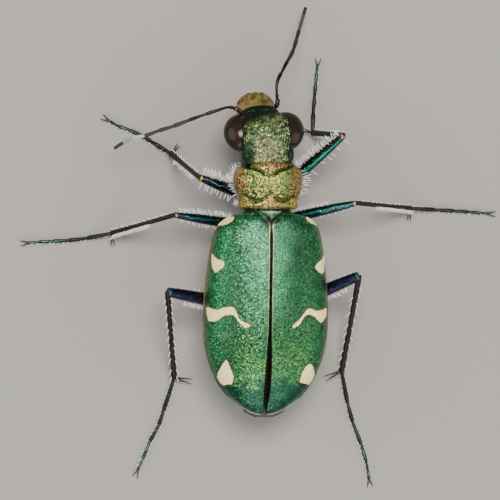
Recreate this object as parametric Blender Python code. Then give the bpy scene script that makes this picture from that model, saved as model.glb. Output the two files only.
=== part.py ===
"""A green tiger beetle at life size, standing with its legs spread.

+Y is towards the head, +Z is up and the feet rest on z = 0. The origin is on the
floor below the middle of the beetle. Shapes are written in millimetres, and each
finished mesh is scaled to metres.
"""

import math

import bmesh
import bpy
import numpy as np
from mathutils import Matrix, Vector

METRES_PER_MM = 0.001
UP = Vector((0, 0, 1))

# Gap between pieces that touch
GAP = 0.3

# Wing cases: half-width, ridge height and rim height, from the base (y) to the tip
ELYTRA_FRONT = 1.48
ELYTRA_TIP = -7.73
ELYTRA_HALF_WIDTH = (
    (-7.73, 0.42), (-7.35, 1.12), (-7.02, 1.49), (-6.32, 2.12), (-5.72, 2.43), (-4.8, 2.75),
    (-3.2, 2.86), (-2.0, 2.81), (-0.39, 2.61), (0.55, 2.44), (1.05, 2.2), (1.3, 1.85), (1.48, 1.3),
)
ELYTRA_RIDGE = (
    (-7.73, 3.55), (-7.0, 3.98), (-6.0, 4.45), (-4.5, 4.85), (-2.5, 5.0), (0.0, 4.85), (1.0, 4.6),
    (1.48, 4.35),
)
ELYTRA_RIM = ((-7.73, 3.33), (-6.0, 3.25), (-3.0, 3.2), (0.0, 3.25), (1.0, 3.4), (1.48, 3.6))
ELYTRA_THICK = 0.5
# How square the arch is: 2 is an ellipse
ELYTRA_POWER = 2.2
# The cavity under a wing case never narrows below this share of the outside
CAVITY_SHARE = 0.22
# Cross rows of a wing case, closer together in its tapering tip and its shoulder
TAPER_Y = -6.9
SHOULDER_Y = 0.6
TAPER_ROWS = 5
MIDDLE_ROWS = 17
SHOULDER_ROWS = 6
ELYTRA_STEPS = 11
MERGE_DISTANCE = 0.002
# The hind body lies a little askew: its midline at y = MIDLINE_Y, and its drift per mm
MIDLINE_X = 0.03
MIDLINE_Y = -3.0
MIDLINE_DRIFT = 0.015

# Small triangle between the bases of the wing cases
SCUTELLUM_HALF_WIDTH = 0.4
SCUTELLUM_TIP_Y = 1.15
SCUTELLUM_NOTCH_Y = 0.8
SCUTELLUM_TOP = 4.45
SCUTELLUM_BOTTOM = 3.2
SCUTELLUM_INSET = 0.02

# Thorax and abdomen under the wing cases
THORAX_FRONT = 1.45
THORAX_BACK = -2.6
ABDOMEN_FRONT = THORAX_BACK - GAP
ABDOMEN_TIP = -7.95
BELLY = ((-7.95, 2.86), (-7.0, 2.66), (-5.0, 2.42), (-2.6, 2.32), (0.5, 2.36), (1.45, 2.6))
TAIL_START = -6.95
TAIL_HALF_WIDTH = ((-7.95, 0.3), (-7.6, 0.52), (-6.95, 0.7))
TAIL_THICK = ((-7.95, 0.12), (-7.6, 0.26), (-6.95, 0.36))
STERNITE_EDGES = (-3.75, -4.6, -5.4, -6.15, -6.85)
STERNITE_STEP = 0.07
STERNITE_STEP_LENGTH = 0.04
BODY_POWER = 2.1
BODY_ROWS = 15
ABDOMEN_SIDES = 24
THORAX_SIDES = 28

# Prothorax
PROTHORAX_X = 0.13
PROTHORAX_BACK = 1.78
PROTHORAX_FRONT = 3.83
PROTHORAX_MID_Z = 3.45
PROTHORAX_HALF_WIDTH = ((1.78, 1.28), (2.3, 1.32), (2.75, 1.52), (3.15, 1.57), (3.5, 1.48), (3.83, 1.22))
PROTHORAX_TOP = ((1.78, 4.32), (2.05, 4.42), (2.9, 4.56), (3.5, 4.5), (3.83, 4.33))
PROTHORAX_BOTTOM = ((1.78, 2.5), (2.5, 2.32), (3.3, 2.4), (3.83, 2.75))
# Its two cross grooves: place on the midline, lean towards the sides, depth, half-width
FRONT_GROOVE = (3.28, 0.5, 0.15, 0.11)
BACK_GROOVE = (2.31, 0.07, 0.13, 0.1)
MIDDLE_GROOVE_DEPTH = 0.05
MIDDLE_GROOVE_HALF_WIDTH = 0.12
PROTHORAX_ROWS = 19
PROTHORAX_SIDES = 32

# Head, in its own frame from the neck: y forward, z up, then turned and tilted
NECK = Vector((0.05, 4.17, 3.72))
HEAD_PITCH = math.radians(-20)
HEAD_ROLL = math.radians(6)
HEAD_TURN = math.radians(7.5)
HEAD_LENGTH = 2.4
HEAD_HALF_WIDTH = ((0, 1.02), (0.3, 1.18), (0.9, 1.17), (1.6, 1.12), (2.0, 1.02), (2.4, 0.86))
HEAD_TOP = ((0, 0.68), (0.5, 0.82), (1.2, 0.78), (1.8, 0.58), (2.4, 0.18))
HEAD_BOTTOM = ((0, 0.75), (0.7, 0.98), (1.4, 0.9), (1.85, 0.55), (2.15, 0.32), (2.4, 0.16))
HEAD_POWER = 2.4
HEAD_ROWS = 15
HEAD_SIDES = 28
EYE_X = 1.15
EYE_Y = 1.22
EYE_Z = 0.3
EYE_RADII = (0.72, 0.92, 0.78)
EYE_SIDES = 16
EYE_RINGS = 11
LABRUM_BACK = 2.68
LABRUM_FRONT = 3.28
LABRUM_HALF_WIDTH = 0.8
LABRUM_TOP = 0.1
LABRUM_THICK = 0.32
LABRUM_ARCH = 0.16
LABRUM_ROUND = 0.22
LABRUM_TEETH = (-0.3, 0.0, 0.3)
LABRUM_TOOTH = 0.09
LABRUM_TOOTH_HALF_WIDTH = 0.09
LABRUM_ROWS = 17
# The share by which the lip thins to its sides, and by which its front edge slopes
LABRUM_THINNING = 0.3
LABRUM_SLOPE = 0.3
MANDIBLE = ((0.72, 2.35, -0.85), (0.98, 2.75, -0.82), (0.85, 3.2, -0.8), (0.42, 3.5, -0.8))
MANDIBLE_RADII = (0.25, 0.25, 0.2, 0.09)
MAXILLA = ((0.82, 1.8, -1.28), (1.05, 2.3, -1.56), (1.09, 2.8, -1.7), (0.92, 3.2, -1.83))
MAXILLA_RADII = (0.22, 0.2, 0.2, 0.15)
LABIUM_ROOT = ((0, 1.2, -1.5), (0, 1.6, -1.5))
LABIUM_ROOT_RADIUS = 0.26
LABIAL_PALP = ((0.12, 1.5, -1.5), (0.34, 1.95, -1.65), (0.38, 2.5, -1.78), (0.32, 2.9, -1.92))
LABIAL_PALP_RADII = (0.16, 0.17, 0.18, 0.13)
MOUTHPART_ROWS = 6
MOUTHPART_SIDES = 8

# Feelers, root to tip, with the ends of their eleven joints as shares of the length
ANTENNA_LEFT = (
    (-1.52, 6.6, 3.1), (-2.2, 6.42, 3.72), (-3.5, 5.92, 3.75), (-4.29, 5.56, 3.53), (-5.63, 5.17, 3.21),
    (-6.86, 4.62, 2.72),
)
ANTENNA_RIGHT = (
    (0.62, 6.98, 3.2), (0.5, 7.5, 3.68), (0.87, 8.32, 3.42), (1.31, 9.05, 2.8), (1.72, 10.12, 1.85),
    (2.12, 11.2, 0.95),
)
ANTENNA_JOINTS = (0.0, 0.09, 0.12, 0.24, 0.35, 0.46, 0.56, 0.65, 0.74, 0.83, 0.91, 1.0)
ANTENNA_THICK = 0.25
ANTENNA_WAIST = 0.22
ANTENNA_TIP = 0.13
# Where along each joint it is thickest, and where along the feeler the tip starts to thin
ANTENNA_THICKEST = 0.6
ANTENNA_FADE = 0.85
ANTENNA_FINE_STEPS = 200
ANTENNA_SIDES = 8

# Legs: half-thickness along each piece
TROCHANTER_RADIUS = 0.3
TROCHANTER_RINGS = 6
TROCHANTER_SIDES = 10
COXA_RINGS = 7
COXA_SIDES = 12
FEMUR_RADII = ((0, 0.24), (0.12, 0.29), (0.35, 0.32), (0.7, 0.28), (1, 0.25))
TIBIA_RADII = ((0, 0.2), (0.15, 0.25), (0.8, 0.25), (1, 0.27))
TARSUS_THICK = 0.25
TARSUS_WAIST = 0.19
TARSUS_TIP = 0.16
TARSUS_HEIGHT = 0.2
TARSUS_ROOT_HEIGHT = 0.34
# The last foot joint is thinner than the first by this share, and each is full between these shares
TARSUS_THINNING = 0.3
TARSUS_FULL = (0.15, 0.85)
CLAW_LENGTH = 0.5
CLAW_RADII = (0.1, 0.08, 0.04)
CLAW_SPREAD = math.radians(28)
# A claw bends at this share of its length, a little above its root, and its tip hangs and turns ahead
CLAW_BEND = 0.6
CLAW_RISE = 0.03
CLAW_DROP = 0.1
CLAW_TURN = 0.7
SPUR_SHARES = (0.1, 0.6, 1.1)
SPUR_LENGTH = 0.62
SPUR_RADII = (0.09, 0.07, 0.035)
SPUR_SPREAD = math.radians(17)
SPUR_DROP = 0.35
FEMUR_RINGS = 7
FEMUR_SIDES = 10
TIBIA_RINGS = 6
FOOT_SIDES = 8
SPINE_SIDES = 6

# Each leg: coxa centre and radii, hip, knee, ankle, ends of the tarsus joints, and
# the level direction of its spurs
LEGS = {
    "front_left": {
        "coxa": (-0.42, 2.48, 2.18), "radii": (0.36, 0.46, 0.48), "hip": (-0.9, 2.44, 1.85),
        "knee": (-3.06, 3.22, 3.3), "ankle": (-4.21, 4.42, 0.32),
        "toes": ((-4.97, 4.88), (-5.53, 5.24), (-6.1, 5.49), (-6.66, 5.69), (-7.12, 5.95)),
        "spurs": (0.65, 0.76),
    },
    "front_right": {
        "coxa": (0.68, 2.6, 2.18), "radii": (0.36, 0.46, 0.48), "hip": (1.12, 2.9, 1.85),
        "knee": (3.69, 5.2, 3.3), "ankle": (2.49, 5.37, 0.32),
        "toes": ((2.57, 6.31), (2.63, 7.02), (2.68, 7.63), (2.73, 8.2), (2.77, 8.55)),
        "spurs": (-0.95, 0.3),
    },
    "mid_left": {
        "coxa": (-0.62, 0.95, 2.15), "radii": (0.46, 0.46, 0.46), "hip": (-1.12, 1.04, 1.78),
        "knee": (-4.2, 1.48, 3.0), "ankle": (-7.05, 0.62, 0.32),
        "toes": ((-8.15, 0.4), (-9.02, 0.3), (-9.73, 0.26), (-10.38, 0.23), (-10.9, 0.19)),
        "spurs": (0.1, -1.0),
    },
    "mid_right": {
        "coxa": (0.8, 1.1, 2.15), "radii": (0.46, 0.46, 0.46), "hip": (1.28, 1.34, 1.78),
        "knee": (4.3, 2.04, 3.0), "ankle": (7.23, 1.81, 0.32),
        "toes": ((8.39, 1.75), (9.25, 1.7), (9.92, 1.66), (10.54, 1.61), (10.9, 1.58)),
        "spurs": (-0.1, -1.0),
    },
    "hind_left": {
        "coxa": (-0.82, -2.66, 2.2), "radii": (0.62, 0.42, 0.4), "hip": (-1.42, -2.7, 1.88),
        "knee": (-4.56, -2.09, 3.42), "ankle": (-4.02, -6.25, 0.32),
        "toes": ((-4.52, -7.73), (-4.73, -8.38), (-5.17, -9.18), (-5.49, -9.98), (-5.73, -10.52)),
        "spurs": (1.0, 0.1),
    },
    "hind_right": {
        "coxa": (0.9, -2.66, 2.2), "radii": (0.62, 0.42, 0.4), "hip": (1.48, -2.67, 1.88),
        "knee": (4.42, -1.34, 3.2), "ankle": (3.88, -5.93, 0.32),
        "toes": ((4.19, -7.34), (4.44, -8.28), (4.84, -9.3), (5.09, -10.16), (5.22, -11.0)),
        "spurs": (-1.0, 0.1),
    },
}

# Materials: colour, metallic, roughness
FINISHES = {
    "elytra": ((0.03, 0.17, 0.06), 0.9, 0.35),
    "thorax_green": ((0.06, 0.13, 0.05), 0.9, 0.35),
    "head_green": ((0.09, 0.15, 0.06), 0.9, 0.35),
    "eye": ((0.07, 0.04, 0.03), 0.0, 0.12),
    "labrum": ((0.55, 0.36, 0.12), 0.0, 0.35),
    "mouthparts": ((0.05, 0.025, 0.015), 0.1, 0.3),
    "antenna": ((0.05, 0.035, 0.03), 0.3, 0.4),
    "femur": ((0.01, 0.05, 0.06), 0.9, 0.3),
    "tibia": ((0.03, 0.015, 0.03), 0.6, 0.35),
    "tarsus": ((0.02, 0.035, 0.03), 0.6, 0.35),
}

CAP_ANGLES = (math.radians(35), math.radians(68))
SHARP_ANGLE = math.radians(50)


def clear_scene():
    for thing in list(bpy.data.objects):
        bpy.data.objects.remove(thing, do_unlink=True)


def curve_value(stations, place):
    """Value at a place on a smooth curve through (place, value) stations."""
    places = np.array([station[0] for station in stations], dtype=float)
    values = np.array([station[1] for station in stations], dtype=float)
    slopes = np.gradient(values, places)
    place = min(max(place, places[0]), places[-1])
    i = min(max(int(np.searchsorted(places, place)) - 1, 0), len(places) - 2)
    width = places[i + 1] - places[i]
    t = (place - places[i]) / width
    near = (1 + 2 * t) * (1 - t) ** 2 * values[i] + t * (1 - t) ** 2 * width * slopes[i]
    far = t * t * (3 - 2 * t) * values[i + 1] + t * t * (t - 1) * width * slopes[i + 1]
    return near + far


def spread(start, end, count):
    """Evenly spaced places from start to end."""
    return [start + (end - start) * i / (count - 1) for i in range(count)]


def smooth_path(points, count):
    """Points along a smooth curve through the given points, evenly spread by length."""
    points = [Vector(point) for point in points]
    ticks = [0.0]
    for near, far in zip(points, points[1:]):
        ticks.append(ticks[-1] + (far - near).length)
    axes = [[(tick, point[axis]) for tick, point in zip(ticks, points)] for axis in range(3)]
    return [
        Vector([curve_value(axis, place) for axis in axes])
        for place in spread(0, ticks[-1], count)
    ]


def material_for(finish):
    colour, metallic, roughness = FINISHES[finish]
    material = bpy.data.materials.new(finish)
    material.use_nodes = True
    shader = material.node_tree.nodes["Principled BSDF"]
    shader.inputs["Base Color"].default_value = (*colour, 1)
    shader.inputs["Metallic"].default_value = metallic
    shader.inputs["Roughness"].default_value = roughness
    return material


def new_piece(name, bm, finish=None):
    """An object, still in millimetres, from a closed bmesh."""
    bmesh.ops.recalc_face_normals(bm, faces=bm.faces)
    mesh = bpy.data.meshes.new(name)
    bm.to_mesh(mesh)
    bm.free()
    piece = bpy.data.objects.new(name, mesh)
    bpy.context.collection.objects.link(piece)
    if finish:
        mesh.materials.append(material_for(finish))
    return piece


def loft(name, rings, tips, finish=None):
    """A closed body over rings of points, each end closed by a fan to its tip."""
    bm = bmesh.new()
    loops = [[bm.verts.new(point) for point in ring] for ring in rings]
    for near, far in zip(loops, loops[1:]):
        for i in range(len(near)):
            j = (i + 1) % len(near)
            bm.faces.new((near[i], near[j], far[j], far[i]))
    for loop, tip in zip((loops[0], loops[-1]), tips):
        centre = bm.verts.new(tip)
        for i in range(len(loop)):
            bm.faces.new((loop[i], loop[(i + 1) % len(loop)], centre))
    return new_piece(name, bm, finish)


def tube(name, path, radii, sides, finish=None, floor=False):
    """A round limb along a path, with a half-thickness at each point and round ends.

    With floor, what would hang below z = 0 is pressed flat on it.
    """
    path = [Vector(point) for point in path]
    stations = []
    for i, point in enumerate(path):
        ahead = (path[min(i + 1, len(path) - 1)] - path[max(i - 1, 0)]).normalized()
        stations.append((point, ahead, radii[i]))
    start, ahead, radius = stations[0]
    opening = [
        (start - ahead * radius * math.sin(angle), ahead, radius * math.cos(angle))
        for angle in reversed(CAP_ANGLES)
    ]
    first_tip = start - ahead * radius
    end, ahead, radius = stations[-1]
    closing = [
        (end + ahead * radius * math.sin(angle), ahead, radius * math.cos(angle)) for angle in CAP_ANGLES
    ]
    last_tip = end + ahead * radius
    rings = []
    for point, ahead, radius in opening + stations + closing:
        across = ahead.cross(UP).normalized()
        above = across.cross(ahead)
        ring = []
        for i in range(sides):
            angle = 2 * math.pi * (i + 0.5) / sides
            ring.append(point + (across * math.cos(angle) + above * math.sin(angle)) * radius)
        rings.append(ring)
    if floor:
        for ring in rings:
            for corner in ring:
                corner.z = max(corner.z, 0)
    return loft(name, rings, (first_tip, last_tip), finish)


def ellipsoid(name, centre, radii, rings, sides, finish=None):
    """An ellipsoid with its poles up and down."""
    bm = bmesh.new()
    bmesh.ops.create_uvsphere(bm, u_segments=sides, v_segments=rings, radius=1)
    bm.transform(Matrix.Translation(centre) @ Matrix.Diagonal((*radii, 1)))
    return new_piece(name, bm, finish)


def apply_boolean(piece, operation, others):
    """Join or cut a piece with others in one Boolean, remove them, and keep one body."""
    operands = bpy.data.collections.new("operands")
    bpy.context.scene.collection.children.link(operands)
    for other in others:
        for owner in list(other.users_collection):
            owner.objects.unlink(other)
        operands.objects.link(other)
    step = piece.modifiers.new("boolean", "BOOLEAN")
    step.operation = operation
    step.operand_type = "COLLECTION"
    step.collection = operands
    step.solver = "EXACT"
    evaluated = piece.evaluated_get(bpy.context.evaluated_depsgraph_get())
    result = bpy.data.meshes.new_from_object(evaluated)
    piece.modifiers.clear()
    piece.data = result
    for other in others:
        bpy.data.objects.remove(other, do_unlink=True)
    bpy.data.collections.remove(operands)
    keep_largest(piece)


def keep_largest(piece):
    """Drop every closed surface of a piece except the largest."""
    bm = bmesh.new()
    bm.from_mesh(piece.data)
    unseen = set(bm.faces)
    islands = []
    while unseen:
        front = [unseen.pop()]
        island = set(front)
        while front:
            face = front.pop()
            for edge in face.edges:
                for neighbour in edge.link_faces:
                    if neighbour in unseen:
                        unseen.remove(neighbour)
                        island.add(neighbour)
                        front.append(neighbour)
        islands.append(island)
    largest = max(islands, key=lambda island: sum(face.calc_area() for face in island))
    extra = [face for island in islands if island is not largest for face in island]
    bmesh.ops.delete(bm, geom=extra, context="FACES")
    loose = [vert for vert in bm.verts if not vert.link_faces]
    bmesh.ops.delete(bm, geom=loose, context="VERTS")
    bm.to_mesh(piece.data)
    bm.free()


def midline(y):
    """The hind body's x at a place along it."""
    return MIDLINE_X + MIDLINE_DRIFT * (y - MIDLINE_Y)


def arch_point(x_centre, half_width, base_z, height, angle, power):
    """A point on a squared arch: angle 0 is its crown and a right angle its side."""
    across = math.copysign(abs(math.sin(angle)) ** (2 / power), math.sin(angle))
    above = abs(math.cos(angle)) ** (2 / power)
    return x_centre + half_width * across, base_z + height * above


def cavity(y):
    """Half-width and height of the space under the wing cases."""
    half_width = curve_value(ELYTRA_HALF_WIDTH, y)
    height = curve_value(ELYTRA_RIDGE, y) - curve_value(ELYTRA_RIM, y)
    return (
        max(half_width - ELYTRA_THICK, CAVITY_SHARE * half_width),
        max(height - ELYTRA_THICK, CAVITY_SHARE * height),
    )


def suture_offset(y):
    """Distance of a wing case's inner edge from the midline."""
    notch = max(0, (y - SCUTELLUM_NOTCH_Y) / (ELYTRA_FRONT - SCUTELLUM_NOTCH_Y))
    return GAP / 2 + notch * (SCUTELLUM_HALF_WIDTH + GAP)


def elytron(name, side):
    """One wing case: an arched shell, open below, from its base to its pointed tip."""
    rows = spread(ELYTRA_TIP, TAPER_Y, TAPER_ROWS)[:-1]
    rows += spread(TAPER_Y, SHOULDER_Y, MIDDLE_ROWS)[:-1]
    rows += spread(SHOULDER_Y, ELYTRA_FRONT, SHOULDER_ROWS)
    steps = ELYTRA_STEPS
    bm = bmesh.new()
    shells = []
    for y in rows:
        half_width = curve_value(ELYTRA_HALF_WIDTH, y)
        rim = curve_value(ELYTRA_RIM, y)
        height = curve_value(ELYTRA_RIDGE, y) - rim
        inner_width, inner_height = cavity(y)
        inner_edge = suture_offset(y)
        outer, inner = [], []
        for i in range(steps):
            angle = math.pi / 2 * i / (steps - 1)
            x, z = arch_point(0, half_width, rim, height, angle, ELYTRA_POWER)
            outer.append(bm.verts.new((midline(y) + side * max(x, inner_edge), y, z)))
            x, z = arch_point(0, inner_width, rim, inner_height, angle, ELYTRA_POWER)
            inner.append(bm.verts.new((midline(y) + side * max(x, inner_edge), y, z)))
        shells.append((outer, inner))
    for (near_outer, near_inner), (far_outer, far_inner) in zip(shells, shells[1:]):
        for i in range(steps - 1):
            bm.faces.new((near_outer[i], near_outer[i + 1], far_outer[i + 1], far_outer[i]))
            bm.faces.new((near_inner[i + 1], near_inner[i], far_inner[i], far_inner[i + 1]))
        for i in (0, steps - 1):
            bm.faces.new((near_inner[i], near_outer[i], far_outer[i], far_inner[i]))
    for outer, inner in (shells[0], shells[-1]):
        for i in range(steps - 1):
            bm.faces.new((outer[i], outer[i + 1], inner[i + 1], inner[i]))
    bmesh.ops.remove_doubles(bm, verts=bm.verts, dist=MERGE_DISTANCE)
    return new_piece(name, bm, "elytra")


def section(x_centre, y, mid_z, half_width, top, bottom, sides, power=BODY_POWER):
    """One cross-section of a body: an arch above mid_z and another below it."""
    ring = []
    for i in range(sides):
        angle = 2 * math.pi * (i + 0.5) / sides
        across = math.copysign(abs(math.cos(angle)) ** (2 / power), math.cos(angle))
        above = math.copysign(abs(math.sin(angle)) ** (2 / power), math.sin(angle))
        reach = top - mid_z if above > 0 else mid_z - bottom
        ring.append(Vector((x_centre + half_width * across, y, mid_z + reach * above)))
    return ring


def hind_section(y, sides):
    """The thorax's and abdomen's cross-section, clear of the wing cases."""
    half_width, height = cavity(y)
    half_width -= GAP
    rim = curve_value(ELYTRA_RIM, y)
    top = rim + height - GAP
    bottom = curve_value(BELLY, y)
    if y < TAIL_START:
        half_width = curve_value(TAIL_HALF_WIDTH, y)
        top = bottom + curve_value(TAIL_THICK, y)
    return section(midline(y), y, (top + bottom) / 2, half_width, top, bottom, sides)


def ring_centre(ring):
    return sum(ring, Vector()) / len(ring)


def body_over(name, rings, finish):
    """A closed body over cross-sections, with flat ends."""
    return loft(name, rings, (ring_centre(rings[0]), ring_centre(rings[-1])), finish)


def abdomen():
    """The belly, its plates edged by small steps on the underside."""
    rows = []
    for y in spread(ABDOMEN_FRONT, ABDOMEN_TIP, BODY_ROWS):
        rows.append((y, 0.0))
    for edge in STERNITE_EDGES:
        rows.append((edge + STERNITE_STEP_LENGTH / 2, 0.0))
        rows.append((edge - STERNITE_STEP_LENGTH / 2, STERNITE_STEP))
    rings = []
    for y, step in sorted(rows, reverse=True):
        ring = hind_section(y, ABDOMEN_SIDES)
        middle = sum(point.z for point in ring) / len(ring)
        for point in ring:
            if point.z < middle:
                point.z += step * (middle - point.z) / (middle - curve_value(BELLY, y))
        rings.append(ring)
    return body_over("abdomen", rings, "thorax_green")


def thorax():
    """The middle and hind thorax with the scutellum on top."""
    rings = [hind_section(y, THORAX_SIDES) for y in spread(THORAX_FRONT, THORAX_BACK, BODY_ROWS)]
    piece = body_over("thorax", rings, "thorax_green")
    bm = bmesh.new()
    x = midline(THORAX_FRONT)
    front = THORAX_FRONT - SCUTELLUM_INSET
    outline = (
        (x - SCUTELLUM_HALF_WIDTH, front),
        (x + SCUTELLUM_HALF_WIDTH, front),
        (x, SCUTELLUM_TIP_Y),
    )
    base = bm.faces.new([bm.verts.new((*corner, SCUTELLUM_BOTTOM)) for corner in outline])
    grown = bmesh.ops.extrude_face_region(bm, geom=[base])
    raised = [item for item in grown["geom"] if isinstance(item, bmesh.types.BMVert)]
    bmesh.ops.translate(bm, verts=raised, vec=(0, 0, SCUTELLUM_TOP - SCUTELLUM_BOTTOM))
    apply_boolean(piece, "UNION", [new_piece("scutellum", bm)])
    return piece


def groove(x_share, y, shape):
    """How far a cross groove cuts in at a place on the prothorax."""
    middle, lean, depth, half_width = shape
    away = (y - middle - lean * abs(x_share)) / half_width
    return depth * math.exp(-away * away)


def prothorax():
    """The first ring of the body, its back crossed by two grooves and a fine middle one."""
    rings = []
    for y in spread(PROTHORAX_BACK, PROTHORAX_FRONT, PROTHORAX_ROWS):
        half_width = curve_value(PROTHORAX_HALF_WIDTH, y)
        top = curve_value(PROTHORAX_TOP, y)
        bottom = curve_value(PROTHORAX_BOTTOM, y)
        ring = section(PROTHORAX_X, y, PROTHORAX_MID_Z, half_width, top, bottom, PROTHORAX_SIDES)
        for point in ring:
            share = (point.x - PROTHORAX_X) / half_width
            fade = max(0, (point.z - PROTHORAX_MID_Z) / (top - PROTHORAX_MID_Z))
            middle = (point.x - PROTHORAX_X) / MIDDLE_GROOVE_HALF_WIDTH
            cut = groove(share, y, FRONT_GROOVE) + groove(share, y, BACK_GROOVE)
            cut += MIDDLE_GROOVE_DEPTH * math.exp(-middle * middle)
            point.z -= cut * fade
        rings.append(ring)
    return body_over("prothorax", rings, "thorax_green")


def head_frame():
    """Turns the head's own frame into the beetle's."""
    return (
        Matrix.Translation(NECK)
        @ Matrix.Rotation(HEAD_TURN, 4, "Z")
        @ Matrix.Rotation(HEAD_PITCH, 4, "X")
        @ Matrix.Rotation(HEAD_ROLL, 4, "Y")
    )


def place_on_head(piece):
    piece.data.transform(head_frame())
    return piece


def mirrored(points, side):
    return [(side * x, y, z) for x, y, z in points]


def head():
    """The head capsule, upright where it meets the prothorax, with a socket for each eye."""
    rings = []
    for y in spread(0, HEAD_LENGTH, HEAD_ROWS):
        half_width = curve_value(HEAD_HALF_WIDTH, y)
        top = curve_value(HEAD_TOP, y)
        bottom = -curve_value(HEAD_BOTTOM, y)
        ring = section(0, y, 0, half_width, top, bottom, HEAD_SIDES, HEAD_POWER)
        upright = (1 - y / HEAD_LENGTH) * math.tan(HEAD_PITCH)
        for point in ring:
            point.y += point.z * upright
        rings.append(ring)
    piece = body_over("head", rings, "head_green")
    sockets = [half_eye("socket", side, GAP) for side in (-1, 1)]
    apply_boolean(piece, "DIFFERENCE", sockets)
    return place_on_head(piece)


def half_eye(name, side, grow, finish=None):
    """The bulging outer part of an eye, cut flat where it faces the head."""
    bm = bmesh.new()
    bmesh.ops.create_uvsphere(bm, u_segments=EYE_SIDES, v_segments=EYE_RINGS, radius=1)
    size = [radius + grow for radius in EYE_RADII]
    upright = Matrix.Rotation(math.pi / 2, 4, "Y")
    place = Matrix.Translation((side * EYE_X, EYE_Y, EYE_Z))
    bm.transform(place @ Matrix.Diagonal((*size, 1)) @ upright)
    everything = bm.verts[:] + bm.edges[:] + bm.faces[:]
    cut = bmesh.ops.bisect_plane(
        bm, geom=everything, plane_co=(side * (EYE_X - grow), 0, 0), plane_no=(-side, 0, 0), clear_outer=True
    )
    edges = [item for item in cut["geom_cut"] if isinstance(item, bmesh.types.BMEdge)]
    bmesh.ops.edgeloop_fill(bm, edges=edges)
    return new_piece(name, bm, finish)


def labrum():
    """The pale upper lip: a small arched plate with three blunt teeth."""
    rings = []
    for x in spread(-LABRUM_HALF_WIDTH, LABRUM_HALF_WIDTH, LABRUM_ROWS):
        share = x / LABRUM_HALF_WIDTH
        top = LABRUM_TOP - LABRUM_ARCH * share * share
        front = LABRUM_FRONT - LABRUM_ROUND * share * share
        for tooth in LABRUM_TEETH:
            front += LABRUM_TOOTH * math.exp(-(((x - tooth) / LABRUM_TOOTH_HALF_WIDTH) ** 2))
        thick = LABRUM_THICK * (1 - LABRUM_THINNING * share * share)
        rings.append([
            Vector((x, LABRUM_BACK, top)),
            Vector((x, front, top - thick * LABRUM_SLOPE)),
            Vector((x, front, top - thick)),
            Vector((x, LABRUM_BACK, top - thick)),
        ])
    return place_on_head(body_over("labrum", rings, "labrum"))


def mouthpart(name, side, points, radii):
    """A curved jaw or palp on the head."""
    path = smooth_path(mirrored(points, side), MOUTHPART_ROWS)
    shares = [(i / (len(radii) - 1), radius) for i, radius in enumerate(radii)]
    widths = [curve_value(shares, share) for share in spread(0, 1, MOUTHPART_ROWS)]
    return tube(name, path, widths, MOUTHPART_SIDES, "mouthparts")


def labium():
    """The lower lip with its pair of palps."""
    radii = (LABIUM_ROOT_RADIUS, LABIUM_ROOT_RADIUS)
    piece = tube("labium", LABIUM_ROOT, radii, MOUTHPART_SIDES, "mouthparts")
    palps = [mouthpart("palp", side, LABIAL_PALP, LABIAL_PALP_RADII) for side in (-1, 1)]
    apply_boolean(piece, "UNION", palps)
    return place_on_head(piece)


def antenna(name, points):
    """A feeler of eleven joints, each a little thicker than the waist between them."""
    shares, widths = [0.0], [ANTENNA_WAIST]
    for start, end in zip(ANTENNA_JOINTS, ANTENNA_JOINTS[1:]):
        shares += [start + (end - start) * ANTENNA_THICKEST, end]
        widths += [ANTENNA_THICK, ANTENNA_WAIST]
    fade = [(0, 1), (ANTENNA_FADE, 1), (1, ANTENNA_TIP / ANTENNA_WAIST)]
    widths = [width * curve_value(fade, share) for share, width in zip(shares, widths)]
    fine = smooth_path(points, ANTENNA_FINE_STEPS + 1)
    path = [fine[round(share * ANTENNA_FINE_STEPS)] for share in shares]
    return tube(name, path, widths, ANTENNA_SIDES, "antenna")


def coxa(leg, spec):
    """The hip piece: a rounded coxa with the small trochanter that carries the femur."""
    piece = ellipsoid(f"coxa_{leg}", spec["coxa"], spec["radii"], COXA_RINGS, COXA_SIDES, "femur")
    radii = (TROCHANTER_RADIUS,) * 3
    stump = ellipsoid("trochanter", spec["hip"], radii, TROCHANTER_RINGS, TROCHANTER_SIDES)
    apply_boolean(piece, "UNION", [stump])
    return piece


def coxa_socket(spec):
    """The hollow that a coxa sits in."""
    radii = [radius + GAP for radius in spec["radii"]]
    return ellipsoid("socket", spec["coxa"], radii, COXA_RINGS, COXA_SIDES)


def limb(name, start, end, stations, rings, sides, finish):
    """A straight limb between the centres of its round ends."""
    start, end = Vector(start), Vector(end)
    shares = spread(0, 1, rings)
    path = [start.lerp(end, share) for share in shares]
    return tube(name, path, [curve_value(stations, share) for share in shares], sides, finish)


def shin_end(spec):
    """Centre of the tibia's round end, which touches the ankle."""
    knee, ankle = Vector(spec["knee"]), Vector(spec["ankle"])
    return ankle - (ankle - knee).normalized() * TIBIA_RADII[-1][1]


def femur(leg, spec):
    hip, knee = Vector(spec["hip"]), Vector(spec["knee"])
    start = hip + (knee - hip).normalized() * (TROCHANTER_RADIUS + GAP + FEMUR_RADII[0][1])
    return limb(f"femur_{leg}", start, knee, FEMUR_RADII, FEMUR_RINGS, FEMUR_SIDES, "femur")


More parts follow.
